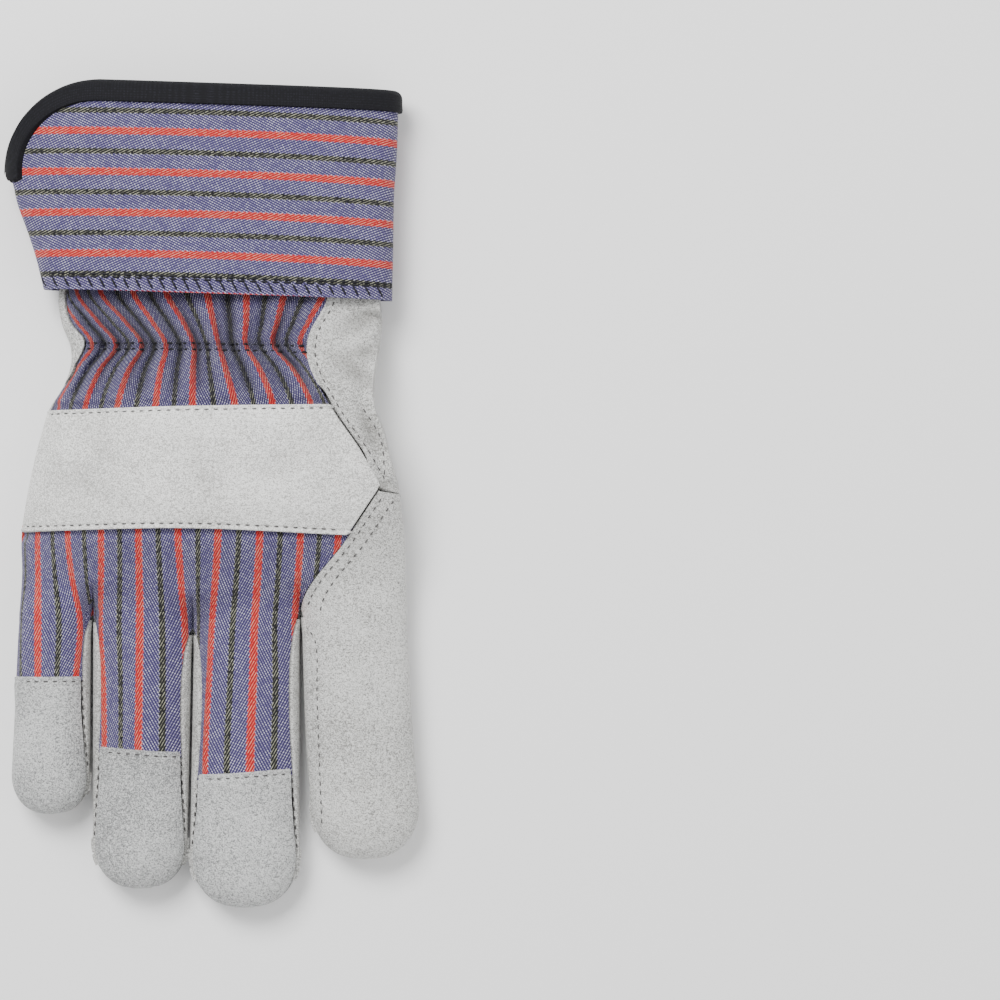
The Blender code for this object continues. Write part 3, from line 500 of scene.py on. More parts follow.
def cuff_point(around, up, inset=0.0):
    """Points of the cuff: around from the notch (0) over the back to the fold (0.5) and back under it (1),
    up from the hem (0) to the mouth (1). A section is a rounded box, made smaller by inset on every side."""
    angle = math.pi * (1 - 2 * np.asarray(around, float))
    cosine = np.sign(np.cos(angle)) * np.abs(np.cos(angle)) ** (2 / CUFF_ROUNDING)
    sine = np.sign(np.sin(angle)) * np.abs(np.sin(angle)) ** (2 / CUFF_ROUNDING)
    share = np.asarray(up, float) + 0 * angle
    for _ in range(6):
        left, right = cuff_side("left", share), cuff_side("right", share)
        x = (left + right) / 2 + (right - left) / 2 * cosine
        y = hem_y(x) + (mouth_y(x) - hem_y(x)) * up
        share = (y - hem_y(x)) / CUFF_LENGTH
    middle, above, below = cuff_heights(share)
    return stack(x - inset * cosine, y, middle + (np.where(sine > 0, above, below) - inset) * sine)


def cuff_under(x, y):
    """Height of the cuff's lower face."""
    share = (y - hem_y(x)) / CUFF_LENGTH
    left, right = cuff_side("left", share), cuff_side("right", share)
    t = np.clip(2 * (x - left) / (right - left) - 1, -1, 1)
    middle, _, below = cuff_heights(share)
    return middle - below * (1 - np.abs(t) ** CUFF_ROUNDING) ** (1 / CUFF_ROUNDING)


def shift():
    """From the formulas' own frame to the solid's. The solid is centred on its box."""
    around = np.arange(40) / 40
    around = around - 0.055 * np.sin(4 * math.pi * around) / math.pi
    left = min(cuff_point(around, up)[:, 0].min() for up in (1.0, 0.93, 0.83, 0.66))
    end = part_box("ring_front")[0][1] + FINGERS["ring"]["length"]
    return np.array([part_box("cuff")[0][0] - left, end, 0.0])


SHIFT = shift()


# Meshes from grids of points.


def ends(count, low=True, high=True):
    """Shares from 0 to 1, closer together at the chosen ends: half or a whole turn of a cosine."""
    t = np.linspace(0, 1, count)
    if low and high:
        return 0.5 - 0.5 * np.cos(math.pi * t)
    if low:
        return 1 - np.cos(math.pi / 2 * t)
    return np.sin(math.pi / 2 * t) if high else t


def grid_normals(points):
    """Unit normals of a grid, the cross product of its slopes along rows and along columns."""
    down = np.gradient(points, axis=0)
    right = np.gradient(points, axis=1)
    return unit(np.cross(down, right))


def run_length(points, axis):
    """Distance travelled along each line of a grid from its first point."""
    step = np.linalg.norm(np.diff(points, axis=axis), axis=2)
    total = np.cumsum(step, axis=axis)
    return np.concatenate([np.zeros_like(np.take(total, [0], axis=axis)), total], axis=axis)


def border_distance(points, borders):
    """Least distance along the grid lines to the chosen borders: top, bottom, left or right of the grid."""
    down, right = run_length(points, 0), run_length(points, 1)
    found = {"top": down, "bottom": down[-1:] - down, "left": right, "right": right[:, -1:] - right}
    return np.min([found[border] for border in borders], axis=0)


def roll_edges(points, borders, radius, depth, side=1.0):
    """Turns the borders over a quarter circle of this depth, against the normal."""
    t = np.clip(1 - border_distance(points, borders) / radius, 0, 1)
    return points - side * grid_normals(points) * (depth * quarter(t))[..., None]


class Skin:
    """Grids of points welded into one surface, then walled on the inner side. Each point carries a mark: the
    place across the cloth's stripes, the place along them and a free third value, which some pieces fill with
    the depth of painted shade in their folds and creases."""

    def __init__(self, wall):
        self.wall, self.points, self.marks, self.corners, self.count = wall, [], [], [], 0

    def add(self, points, marks=None, flip=False):
        """Faces look along row step x column step, or against it with flip."""
        rows, columns = points.shape[:2]
        if marks is None:
            marks = np.zeros_like(points)
        number = np.arange(rows * columns).reshape(rows, columns) + self.count
        ring = number[:-1, :-1], number[1:, :-1], number[1:, 1:], number[:-1, 1:]
        quads = np.stack(ring, axis=-1).reshape(-1, 4)
        self.points.append(points.reshape(-1, 3))
        self.marks.append(marks.reshape(-1, 3))
        self.corners.append(quads[:, ::-1] if flip else quads)
        self.count += rows * columns

    def build(self, name, material):
        """Welds the grids, halves each face along its shorter diagonal and adds the wall."""
        points, quads = np.vstack(self.points), np.vstack(self.corners)
        cells = np.round(points / WELD).astype(np.int64)
        _, first, index = np.unique(cells, axis=0, return_index=True, return_inverse=True)
        points, marks = points[first], np.vstack(self.marks)[first]
        quads = index.reshape(-1)[quads]
        a, b, c, d = (points[quads[:, k]] for k in range(4))
        short = np.linalg.norm(a - c, axis=1) < np.linalg.norm(b - d, axis=1)
        from_first, from_second = quads[:, [[0, 1, 2], [0, 2, 3]]], quads[:, [[1, 2, 3], [1, 3, 0]]]
        faces = np.where(short[:, None, None], from_first, from_second).reshape(-1, 3)
        a, b, c = faces.T
        faces = faces[(a != b) & (b != c) & (a != c)]
        if self.wall > 0:
            points, faces = with_wall(points, faces, self.wall)
            marks = np.vstack([marks, marks])
        return place_piece(name, points, faces, material, marks)


def with_wall(points, faces, wall):
    """Adds an inner wall, each point moved in along its faces' mean normal, and a band along the rim."""
    a, b, c = (points[faces[:, k]] for k in range(3))
    normal = np.cross(b - a, c - a)
    every = faces.reshape(-1)
    sums = [np.bincount(every, np.repeat(normal[:, k], 3), len(points)) for k in range(3)]
    inward = unit(np.stack(sums, axis=1)) * wall
    edges = np.concatenate([faces[:, [0, 1]], faces[:, [1, 2]], faces[:, [2, 0]]])
    _, where, uses = np.unique(np.sort(edges, axis=1), axis=0, return_index=True, return_counts=True)
    start, end = edges[where[uses == 1]].T
    size = len(points)
    band = [np.column_stack([end, start, start + size]), np.column_stack([end, start + size, end + size])]
    return np.vstack([points, points - inward]), np.vstack([faces, faces[:, ::-1] + size, *band])


def new_object(name, data):
    """An object of this data, in the scene."""
    obj = bpy.data.objects.new(name, data)
    bpy.context.scene.collection.objects.link(obj)
    return obj


def place_piece(name, points, faces, material, marks=None):
    """A mesh object of triangles at the origin, moved to its solid and riding on the glove."""
    mesh = bpy.data.meshes.new(name)
    mesh.vertices.add(len(points))
    mesh.vertices.foreach_set("co", (points + SHIFT).astype(np.float32).reshape(-1))
    mesh.loops.add(faces.size)
    mesh.loops.foreach_set("vertex_index", faces.astype(np.int32).reshape(-1))
    mesh.polygons.add(len(faces))
    mesh.polygons.foreach_set("loop_start", np.arange(0, faces.size, 3, dtype=np.int32))
    mesh.update(calc_edges=True)
    mesh.validate()
    if marks is not None:
        layer = mesh.attributes.new("cloth", "FLOAT_VECTOR", "POINT")
        layer.data.foreach_set("vector", marks.astype(np.float32).reshape(-1))
    mesh.shade_smooth()
    mesh.set_sharp_from_angle(angle=math.radians(50))
    mesh.materials.append(material)
    obj = new_object(name, mesh)
    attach(obj, "root")
    return obj


# Materials, all from formulas in the coordinates of the glove or of the cloth.


def linear(red, green, blue):
    """Linear colour of an sRGB one given as numbers to 255."""
    share = np.array((red, green, blue)) / 255
    low, high = share / 12.92, ((share + 0.055) / 1.055) ** 2.4
    return (*np.where(share <= 0.04045, low, high).tolist(), 1.0)


class Nodes:
    """Adds shader nodes to a tree. An input given as a socket is linked, and any other value is set."""

    def __init__(self, tree):
        self.tree = tree

    def add(self, kind, inputs=None, **settings):
        """A new node with its settings and inputs."""
        node = self.tree.nodes.new("ShaderNode" + kind)
        for key, value in settings.items():
            setattr(node, key, value)
        for key, value in (inputs or {}).items():
            if isinstance(value, bpy.types.NodeSocket):
                self.tree.links.new(value, node.inputs[key])
            else:
                node.inputs[key].default_value = value
        return node

    def math(self, operation, first, second=0.0, third=0.0):
        """One step of arithmetic."""
        inputs = {0: first, 1: second, 2: third}
        return self.add("Math", inputs, operation=operation).outputs[0]

    def times(self, first, second):
        """Product of two values."""
        return self.math("MULTIPLY", first, second)

    def plus(self, first, second):
        """Sum of two values."""
        return self.math("ADD", first, second)

    def fit(self, value, factor, offset):
        """Value times a factor, plus an offset."""
        return self.math("MULTIPLY_ADD", value, factor, offset)

    def soft(self, value, low, high):
        """0 below low, 1 above high and smooth between them. With low above high it falls instead."""
        if low < high:
            inputs = {"Value": value, "From Min": low, "From Max": high, "To Min": 0.0, "To Max": 1.0}
        else:
            inputs = {"Value": value, "From Min": high, "From Max": low, "To Min": 1.0, "To Max": 0.0}
        return self.add("MapRange", inputs, interpolation_type="SMOOTHSTEP").outputs["Result"]

    def mix(self, factor, first, second):
        """First colour at 0 and second colour at 1."""
        node = self.add("Mix", {"Factor": factor, 6: first, 7: second}, data_type="RGBA")
        return node.outputs[2]

    def noise(self, vector, scale, detail=2.0, roughness=0.5):
        """Soft noise between 0 and 1."""
        inputs = {"Vector": vector, "Scale": scale, "Detail": detail, "Roughness": roughness}
        return self.add("TexNoise", inputs).outputs["Fac"]

    def stretched(self, vector, factors):
        """Vector times factors, axis by axis."""
        return self.add("VectorMath", {0: vector, 1: factors}, operation="MULTIPLY").outputs[0]

    def mark(self):
        """The piece's marks."""
        return self.add("Attribute", attribute_name="cloth").outputs["Vector"]

    def place(self):
        """The place on the piece, in metres."""
        return self.add("TexCoord").outputs["Object"]

    def parts(self, vector):
        """The vector's X, Y and Z."""
        return self.add("SeparateXYZ", {0: vector}).outputs

    def wave(self, turns):
        """From 0 to 1 and back once a turn: half of 1 minus the cosine."""
        cosine = self.math("COSINE", self.times(turns, 2 * math.pi))
        return self.fit(cosine, -0.5, 0.5)


def node_group(name, inputs, outputs):
    """An empty group with the named sockets, its Nodes helper, and its input and output nodes."""
    group = bpy.data.node_groups.new(name, "ShaderNodeTree")
    for direction, sockets in (("INPUT", inputs), ("OUTPUT", outputs)):
        for socket, kind in sockets.items():
            group.interface.new_socket(socket, in_out=direction, socket_type="NodeSocket" + kind)
    return group, group.nodes.new("NodeGroupInput").outputs, group.nodes.new("NodeGroupOutput").inputs


def suede_group():
    """Nap of a split hide: fine light and dark specks, short darker fibres and broad soft patches. Its height
    is that of the fine nap."""
    inputs = {"Light": "Color", "Dark": "Color", "Place": "Vector"}
    group, given, result = node_group("suede", inputs, {"Color": "Color", "Height": "Float"})
    n = Nodes(group)
    place = given["Place"]
    fine = n.noise(place, 2600.0, 1.0, 0.6)
    pebble = n.noise(place, 1150.0, 2.0, 0.6)
    patch = n.noise(place, 75.0, 3.0, 0.6)
    broad = n.noise(place, 22.0, 1.0, 0.5)
    fibre = n.noise(n.stretched(place, (700.0, 2400.0, 1200.0)), 1.0, 1.0, 0.5)
    shade = n.fit(fine, 2.2, -1.1)
    for field, weight in ((pebble, 1.1), (patch, 0.45), (broad, 0.6)):
        shade = n.plus(shade, n.fit(field, weight, -weight / 2))
    shade = n.plus(shade, n.times(n.soft(fibre, 0.56, 0.74), -0.30))
    shade = n.plus(shade, 0.56)
    colour = n.mix(n.soft(shade, 0.0, 1.0), given["Dark"], given["Light"])
    group.links.new(colour, result["Color"])
    height = n.fit(pebble, 1.0, n.fit(fine, 0.6, n.times(patch, 2.0)))
    group.links.new(height, result["Height"])
    return group


def twill_group():
    """Striped twill. Cloth: stripes counted across, whole on a red one and half-way on a black one, and
    metres along them. Floats of pale yarn lie in slanting rows, one way from a red stripe up to the black one
    above it and the other way beyond it."""
    outputs = {"Color": "Color", "Height": "Float"}
    group, given, result = node_group("twill", {"Cloth": "Vector"}, outputs)
    n = Nodes(group)
    part = n.parts(given["Cloth"])
    count, along = part["X"], part["Y"]
    across = n.times(count, STRIPE)
    share = n.math("FRACT", count)
    turn = n.math("SIGN", n.math("SUBTRACT", share, 0.5))
    slant = n.math("SUBTRACT", across, n.times(n.times(along, turn), TWILL_SLOPE))
    rows = n.math("DIVIDE", slant, TWILL_ROW)
    floats = n.fit(n.math("FLOOR", rows), 0.37, n.math("DIVIDE", along, FLOAT_LENGTH))
    rise = n.wave(rows)
    bead = n.times(rise, n.fit(n.wave(floats), 0.55, 0.45))
    cell = n.add("CombineXYZ", {0: n.math("FLOOR", rows), 1: n.math("FLOOR", floats)}).outputs[0]
    chance = n.add("TexWhiteNoise", {"Vector": cell}, noise_dimensions="3D").outputs["Value"]
    wear = n.noise(n.stretched(given["Cloth"], (2.0, 160.0, 1.0)), 1.0, 3.0, 0.6)
    pale = n.times(n.soft(bead, 0.38, 0.85), n.fit(chance, 0.85, 0.25))
    pale = n.times(pale, n.fit(wear, 1.6, 0.2))
    colour = n.mix(rise, CLOTH["blue_dark"], CLOTH["blue"])
    colour = n.mix(pale, colour, CLOTH["pale"])
    ragged = n.fit(rise, 0.0003, -0.00015)
    from_red = n.math("SUBTRACT", count, n.math("ROUND", count))
    red_off = n.times(n.math("ABSOLUTE", from_red), STRIPE)
    black_off = n.times(n.math("ABSOLUTE", n.math("SUBTRACT", share, 0.5)), STRIPE)
    red_half, black_half = RED_WIDTH / 2, BLACK_WIDTH / 2
    red_mask = n.soft(n.plus(red_off, ragged), red_half + STRIPE_BLUR, red_half - STRIPE_BLUR)
    black_mask = n.soft(n.plus(black_off, ragged), black_half + STRIPE_BLUR, black_half - STRIPE_BLUR)
    twist = n.math("SUBTRACT", across, n.times(along, TWILL_SLOPE))
    strand = n.wave(n.math("DIVIDE", twist, TWILL_ROW))
    red = n.mix(strand, CLOTH["red_dark"], CLOTH["red"])
    red = n.mix(n.times(n.soft(strand, 0.72, 0.97), n.times(chance, 0.9)), red, CLOTH["orange"])
    sand = n.times(n.soft(strand, 0.62, 0.95), n.times(chance, 0.8))
    black = n.mix(sand, CLOTH["black"], CLOTH["sand"])
    colour = n.mix(red_mask, colour, red)
    colour = n.mix(black_mask, colour, black)
    # Painted shade: the marks' third value mixes the colour towards the dark shade colour, in the wrist's
    # fold valleys.
    colour = n.mix(n.times(part["Z"], 0.80), colour, CLOTH["shade"])
    group.links.new(colour, result["Color"])
    ridge = n.times(n.plus(red_mask, black_mask), 0.9)
    group.links.new(n.plus(n.plus(rise, bead), ridge), result["Height"])
    return group


CLOTH = {
    "blue_dark": linear(50, 42, 84),
    "blue": linear(86, 78, 124),
    "pale": linear(196, 195, 212),
    "red": linear(216, 44, 42),
    "red_dark": linear(146, 24, 30),
    "orange": linear(246, 178, 150),
    "black": linear(24, 24, 27),
    "sand": linear(190, 190, 165),
    # Colour of the painted shade in the wrist's folds.
    "shade": linear(20, 18, 30),
}


def new_material(name):
    """A material with its Nodes helper and its Principled shader."""
    material = bpy.data.materials.new(name)
    material.use_nodes = True
    n = Nodes(material.node_tree)
    return material, n, material.node_tree.nodes["Principled BSDF"]


def finish(n, shader, colour, height, depth, roughness):
    """Links colour and bump to the shader, and sets a dull finish."""
    n.tree.links.new(colour, shader.inputs["Base Color"])
    bump = n.add("Bump", {"Height": height, "Distance": depth, "Strength": 1.0})
    n.tree.links.new(bump.outputs[0], shader.inputs["Normal"])
    shader.inputs["Roughness"].default_value = roughness
    shader.inputs["Specular IOR Level"].default_value = 0.25


def suede(name, group, light, dark):
    """Leather: the suede group, with painted shade darkening the creases by the mark's third value."""
    material, n, shader = new_material(name)
    place = n.place()
    nap = n.add("Group", node_tree=group)
    n.tree.links.new(place, nap.inputs["Place"])
    nap.inputs["Light"].default_value, nap.inputs["Dark"].default_value = light, dark
    # Painted shade: the crease depth in the marks mixes the nap towards a dark grey.
    painted_crease_shade = n.times(n.parts(n.mark())["Z"], 0.55)
    colour = n.mix(painted_crease_shade, nap.outputs["Color"], linear(112, 110, 106))
    finish(n, shader, colour, nap.outputs["Height"], 0.00030, 0.95)
    shader.inputs["Sheen Weight"].default_value = 0.12
    shader.inputs["Sheen Roughness"].default_value = 0.6
    return material


def twill(name, group):
    """Fabric: the twill group on the marks of the cloth."""
    material, n, shader = new_material(name)
    cloth = n.add("Group", {"Cloth": n.mark()}, node_tree=group)
    finish(n, shader, cloth.outputs["Color"], cloth.outputs["Height"], 0.00014, 0.85)
    shader.inputs["Sheen Weight"].default_value = 0.08
    return material


def tape():
    """Black woven tape: fine ribs across it, with a painted highlight where the ribs cross, broken up by dull
    specks.
    """
    material, n, shader = new_material("black_tape")
    part = n.parts(n.mark())
    rib = n.wave(n.math("DIVIDE", part["X"], 0.00065))
    cross = n.wave(n.math("DIVIDE", part["Y"], 0.00055))
    speck = n.noise(n.place(), 1800.0, 2.0)
    # Painted highlight: the crests where the ribs cross are mixed lighter, in specks.
    light = n.times(n.times(rib, cross), n.soft(speck, 0.35, 0.65))
    colour = n.mix(light, linear(9, 9, 14), linear(28, 28, 36))
    finish(n, shader, colour, n.plus(rib, cross), 0.00005, 0.8)
    return material


def thread(name, colour, light):
    """Thread: two tones mixed by a fine noise."""
    material, n, shader = new_material(name)
    speck = n.noise(n.place(), 2600.0, 1.0)
    finish(n, shader, n.mix(speck, colour, light), speck, 0.00005, 0.7)
    return material


def plain(name, colour, roughness):
    """One colour all over."""
    material, _, shader = new_material(name)
    shader.inputs["Base Color"].default_value = colour
    shader.inputs["Roughness"].default_value = roughness
    return material


SUEDE = suede_group()
TWILL = twill_group()
MATERIAL = {
    "leather": suede("suede_warm", SUEDE, linear(218, 218, 215), linear(126, 125, 122)),
    "leather_pale": suede("suede_pale", SUEDE, linear(247, 247, 244), linear(166, 165, 162)),
    "leather_cool": suede("suede_cool", SUEDE, linear(208, 209, 208), linear(116, 117, 117)),
    "back_fabric": twill("back_twill", TWILL),
    "cuff_fabric": twill("cuff_twill", TWILL),
    "binding": tape(),
    "thread_grey": thread("dark_grey_thread", linear(56, 54, 54), linear(96, 94, 94)),
    "thread_black": thread("black_thread", linear(14, 14, 17), linear(36, 36, 42)),
    "floor": plain("pale_floor", linear(252, 252, 252), 0.8),
}


# Places across the glove where each red stripe of the fabric runs. Millimetres in the glove's frame.

HAND_STRIPES = {
    "y": (-60.0, -46.8, -21.2, -0.1, 12.0, 25.8, 34.0),
    "reds": (
        (-54.7, -54.7, -54.9, -55.0, -55.1, -55.2, -55.2),
        (-43.0, -43.2, -42.9, -41.6, -44.0, -45.3, -45.6),
        (-34.2, -34.2, -34.6, -35.8, -34.9, -34.4, -34.4),
        (-23.4, -23.4, -23.0, -22.7, -22.6, -22.4, -22.4),
        (-8.0, -8.0, -8.0, -8.6, -9.3, -9.9, -9.9),
        (-2.6, -2.6, -1.3, 0.0, 1.4, 2.6, 2.7),
        (12.2, 12.2, 13.1, 13.8, 14.8, 15.7, 15.8),
        (27.2, 27.2, 27.2, 26.3, 27.5, 28.5, 28.6),
        (38.0, 38.0, 38.0, 36.0, 38.6, 40.3, 40.4),
    ),
}
WRIST_STRIPES = {
    "y": (60.0, 66.5, 78.0, 85.4, 93.0, 101.4, 110.0),
    "reds": (
        (-50.0, -49.3, -43.5, -38.1, -43.0, -49.0, -50.0),
        (-41.0, -39.8, -35.2, -30.4, -36.2, -42.6, -43.5),
        (-30.5, -29.4, -25.9, -22.1, -27.5, -34.9, -36.0),
        (-17.9, -17.0, -15.7, -14.4, -18.9, -24.5, -25.5),
        (-5.6, -5.4, -5.4, -5.4, -9.0, -14.2, -15.0),
        (8.5, 8.0, 4.8, 2.5, 0.6, -1.1, -1.5),
        (20.5, 19.8, 15.4, 11.1, 11.2, 11.2, 11.2),
        (33.0, 32.0, 25.9, 19.8, 21.1, 22.9, 23.2),
        (41.0, 40.0, 33.6, 28.2, 31.0, 35.2, 35.8),
    ),
}


def stripe_count(table, x, y):
    """Stripes counted from the little-finger side: whole on a red one, and half-way on a black one. Between
    two reds it is the share of the way from one to the next, summed over all."""
    keys = {"y": np.array(table["y"]) / 1000}
    count = np.zeros(np.broadcast(x, y).shape)
    red = [row({**keys, "x": np.array(line) / 1000}, "x", y) for line in table["reds"]]
    last = len(red) - 2
    for i in range(last + 1):
        share = (x - red[i]) / (red[i + 1] - red[i])
        count += np.clip(share, -np.inf if i == 0 else 0.0, np.inf if i == last else 1.0)
    return count


def unrolled(points):
    """Places across the cloth: x, and on the little-finger side's wall also the drop below its top."""
    x, _, z = (points[..., k] for k in range(3))
    return x + np.where(x < WALL_X, WALL_STRETCH * np.minimum(z - WALL_TOP, 0), 0)


def back_marks(table, points):
    """Marks of the fabric on the back: stripes counted across, and metres along the hand."""
    x, y = unrolled(points), points[..., 1]
    return np.stack([stripe_count(table, x, y), y, 0 * y], axis=-1)


# Soft shapes of worn leather and gathered cloth.


def waves(x, y, size):
    """Soft unevenness between -1 and 1: the mean of four sine ripples that cross each other."""
    total = 0.0
    for turn, stretch, shift in ((0.3, 1.0, 0.7), (1.4, 1.31, 2.1), (2.3, 0.83, 4.0), (2.9, 1.62, 5.2)):
        run = x * math.cos(turn) + y * math.sin(turn)
        sway = np.sin(2 * math.pi * y / size / 2.7 + shift)
        total = total + np.sin(2 * math.pi * run * stretch / size + shift + sway)
    return total / 4


def crease(x, y, start, end, width, depth):
    """A fold line from start to end: a ridge of the distance to that line, fading towards both ends."""
    start, end = np.array(start) / 1000, np.array(end) / 1000
    run = end - start
    t = ((x - start[0]) * run[0] + (y - start[1]) * run[1]) / (run @ run)
    near = np.clip(t, 0, 1)
    distance = np.hypot(x - start[0] - near * run[0], y - start[1] - near * run[1])
    return -depth * ridge(distance, width) * np.sin(math.pi * np.clip(t, 0.04, 0.96))


# Creases on the back: start and end in millimetres, width and depth in metres.
BACK_CREASES = (
    ((-52, 46), (-20, 33), 0.0040, 0.0010),
    ((38, 60), (12, 40), 0.0050, 0.0010),
    ((-8, 58), (4, 30), 0.0045, 0.0007),
    ((-40, 62), (-30, 44), 0.0040, 0.0007),
)
WING_CREASES = (
    ((36, 84), (55, 70), 0.0030, 0.0022),
    ((38, 88), (59, 99), 0.0032, 0.0020),
    ((42, 82), (56, 84), 0.0022, 0.0012),
    ((46, 66), (56, 50), 0.0026, 0.0012),
    ((50, 40), (59, 42), 0.0016, 0.0010),
)


def crease_marks(points, creases, strength):
    """Marks of leather: its third value is how deep in a crease the point lies, used for painted shade in the
    creases.
    """
    x, y = points[..., 0], points[..., 1]
    deep = sum(crease(x, y, start, end, width, 1.0) for start, end, width, _ in creases)
    return np.stack([0 * x, 0 * x, np.clip(-strength * deep, 0, 1)], axis=-1)


def fold_back(points, creases, size=0.030, swell=0.0004):
    """Moves a surface along Z by its creases and by a soft unevenness."""
    x, y = points[..., 0], points[..., 1]
    lift = swell * waves(x, y, size) + sum(crease(x, y, *line) for line in creases)
    return points + np.stack([0 * x, 0 * x, lift], axis=-1)


# Pieces.


def one_grid(name, grid, wall, material, marks=None, flip=False):
    """A piece of a single grid."""
    skin = Skin(wall)
    skin.add(grid, marks, flip)
    return skin.build(name, MATERIAL[material])


def finger_rows(start, end, with_tip, count):
    """Places along a finger, and round its tip: pairs of a share of its length and an angle."""
    rows = [(v, 0.0) for v in np.linspace(start, end, count)]
    return rows + ([(1.0, angle) for angle in TIP_ANGLES] if with_tip else [])


def finger_grid(finger, rows, sides, upper, apart=(0.0, 0.0)):
    """Rows of points over the upper or lower half of a finger, between its side strips."""
    lines = []
    for v, tip in rows:
        above, below = strip_widths(along_finger(v, tip))
        width = above if upper else below
        gap = STRIP_GAP if width > 0 else 0.0
        angle = np.linspace((width + gap) * sides[0], math.pi - (width + gap) * sides[1], FINGER_STEPS + 1)
        lines.append(finger_points(finger, v, tip, angle if upper else -angle, apart))
    return np.array(lines)


def cuff():
    """The safety cuff: the solid's rounded box section, with a slight wave."""
    around = np.linspace(0, 1, 321)
    grid = np.array([cuff_point(around, up) for up in ends(70)[::-1]])
    lift = 0.0005 * waves(grid[..., 0] + 0.3 * around, grid[..., 1], 0.052)
    lift = lift * np.sin(math.pi * np.linspace(1, 0, 70))[:, None]
    lift = lift * smooth(np.minimum(around, 1 - around) / 0.06)
    inner = np.array([cuff_point(around, up, CUFF_WALL) for up in ends(24)])
    grid = grid + grid_normals(grid) * lift[..., None]
    grid = np.concatenate([grid, inner, grid[:1]])
    x, y = grid[..., 0], grid[..., 1]
    arch = HEM_ARCH * (1 - np.clip(x / (CUFF_WIDTH / 2), -1, 1) ** 2)
    along = np.where(around < 0.5, x, 2 * HAND_WIDTH - x)
    marks = np.stack([(y - hem_y(x) - arch) / STRIPE + HEM_COUNT, along, 0 * x], axis=-1)
    return one_grid("cuff_cloth", grid, 0.0, "cuff_fabric", marks)


def cuff_binding():
    """Tape folded over the mouth from the notch right round to the notch: a rounded U carried all round it.
    Its section runs down one face, over the edge on a half circle and down the other face."""
    around = np.linspace(0, 1, 401)
    edge = cuff_point(around, 1.0)
    length = (edge - cuff_point(around, 0.0))[:, 1]
    proud = TAPE_PROUD
    radius = CUFF_WALL / 2 + proud
    share = 1 - (edge[:, 0] - cuff_side("left", 1.0)) / NOTCH_REACH
    outer, inner = np.clip(share, 0, 1), np.clip(share / (1 - TAPE_WIDTH / NOTCH_REACH), 0, 1)
    arm = TAPE_WIDTH + (NOTCH_DEPTH - TAPE_WIDTH) * quarter(inner)
    arm = arm - NOTCH_DEPTH * quarter(outer) + TAPE_TAIL * smooth((share - 0.8) / 0.2)
    section = [(-proud, 1.0), (-proud - 0.00015, 0.8), (-proud, 0.4)]
    for angle in np.linspace(0, math.pi, 11):
        section.append((CUFF_WALL / 2 - radius * math.cos(angle), -radius * math.sin(angle)))
    section += [(CUFF_WALL + proud, 0.4), (CUFF_WALL + proud, 1.0), (CUFF_WALL + 0.0001, 1.05)]
    section += [(CUFF_WALL / 2, 0.8), (-0.0001, 1.05)]
    lines, marks = [], []
    for n, (inset, down) in enumerate(section):
        loop = cuff_point(around, 1 - arm * max(down, 0.0) / length, inset)
        loop[:, 1] -= min(down, 0.0)
        lines.append(loop)
        marks.append(np.stack([around * 0.27, 0 * around + n * 0.0011, 0 * around], axis=-1))
    grid, marks = np.array(lines + lines[:1]), np.array(marks + marks[:1])
    return one_grid("cuff_tape", grid, 0.0, "binding", marks, flip=True)


def cuff_patch():
    """Leather patch under the cuff, its rows between the two outline columns of its table."""
    share = (0.03 + 0.49 * ends(60))[:, None]
    left, right = (row(PATCH, side, share) * CUFF_WIDTH / 2 for side in ("left", "right"))
    x = left + (right - left) * ends(100)[None, :]
    y = hem_y(x) + share * CUFF_LENGTH
    grid = stack(x, y, cuff_under(x, y) - LEATHER - LAY_GAP)
    grid = roll_edges(grid, ("top", "bottom", "left", "right"), EDGE_RADIUS, LEATHER * 0.8)
    return one_grid("cuff_patch_leather", grid, LEATHER * 0.5, "leather")


def strap_point(share, r):
    """Points of the knuckle strap: share across, r from its lower edge (0) to its upper edge (1)."""
    low, high = (station_y(row(STRAP_EDGES, edge, share)) for edge in ("low", "high"))
    y = low + (high - low) * r
    wrist = seam_share(FABRIC_RIGHT, y[..., -1:], -SEAM_TIGHT)
    index = seam_share(INDEX_SEAM, y[..., -1:], -SEAM_TIGHT)
    place = share * np.where(y[..., -1:] > station_y(0.408), wrist, index)
    points = back(place, y, STRAP_PROUD * smooth(place / 0.04))
    return fold_back(points, BACK_CREASES, 0.040, 0.0003)


def knuckle_strap():
    """Leather strap across the knuckles, with rolled edges and a puffed hem beyond each stitch row."""
    share = ends(230)[None, :] + np.zeros((100, 1))
    grid = strap_point(share, ends(100)[::-1, None])
    down = run_length(grid, 0)
    hem = 0.0
    for gap, inset in ((down, STITCH_INSET["high"]), (down[-1:] - down, STITCH_INSET["low"])):
        hem = hem + 0.00035 * ridge(gap - 0.5 * inset, 0.0009) - 0.00030 * ridge(gap - inset, 0.0005)
    grid = grid + grid_normals(grid) * hem[..., None]
    grid = roll_edges(grid, ("top", "bottom"), 0.0010, LEATHER)
    grid = roll_edges(grid, ("right",), 0.0010, 0.0012)
    # The marks' third value is faint painted shade in the strap's creases.
    marks = crease_marks(grid, BACK_CREASES, 0.3)
    return one_grid("knuckle_leather", grid, LEATHER * 0.6, "leather_pale", marks)


def tuck_depth(x, y, past):
    """How far fabric lies below the back under the strap, fading out past the strap's edge."""
    under = (LEATHER + LAY_GAP) * steepness(x, y) - STRAP_PROUD
    return under * (1 - smooth(past / TUCK_REACH))


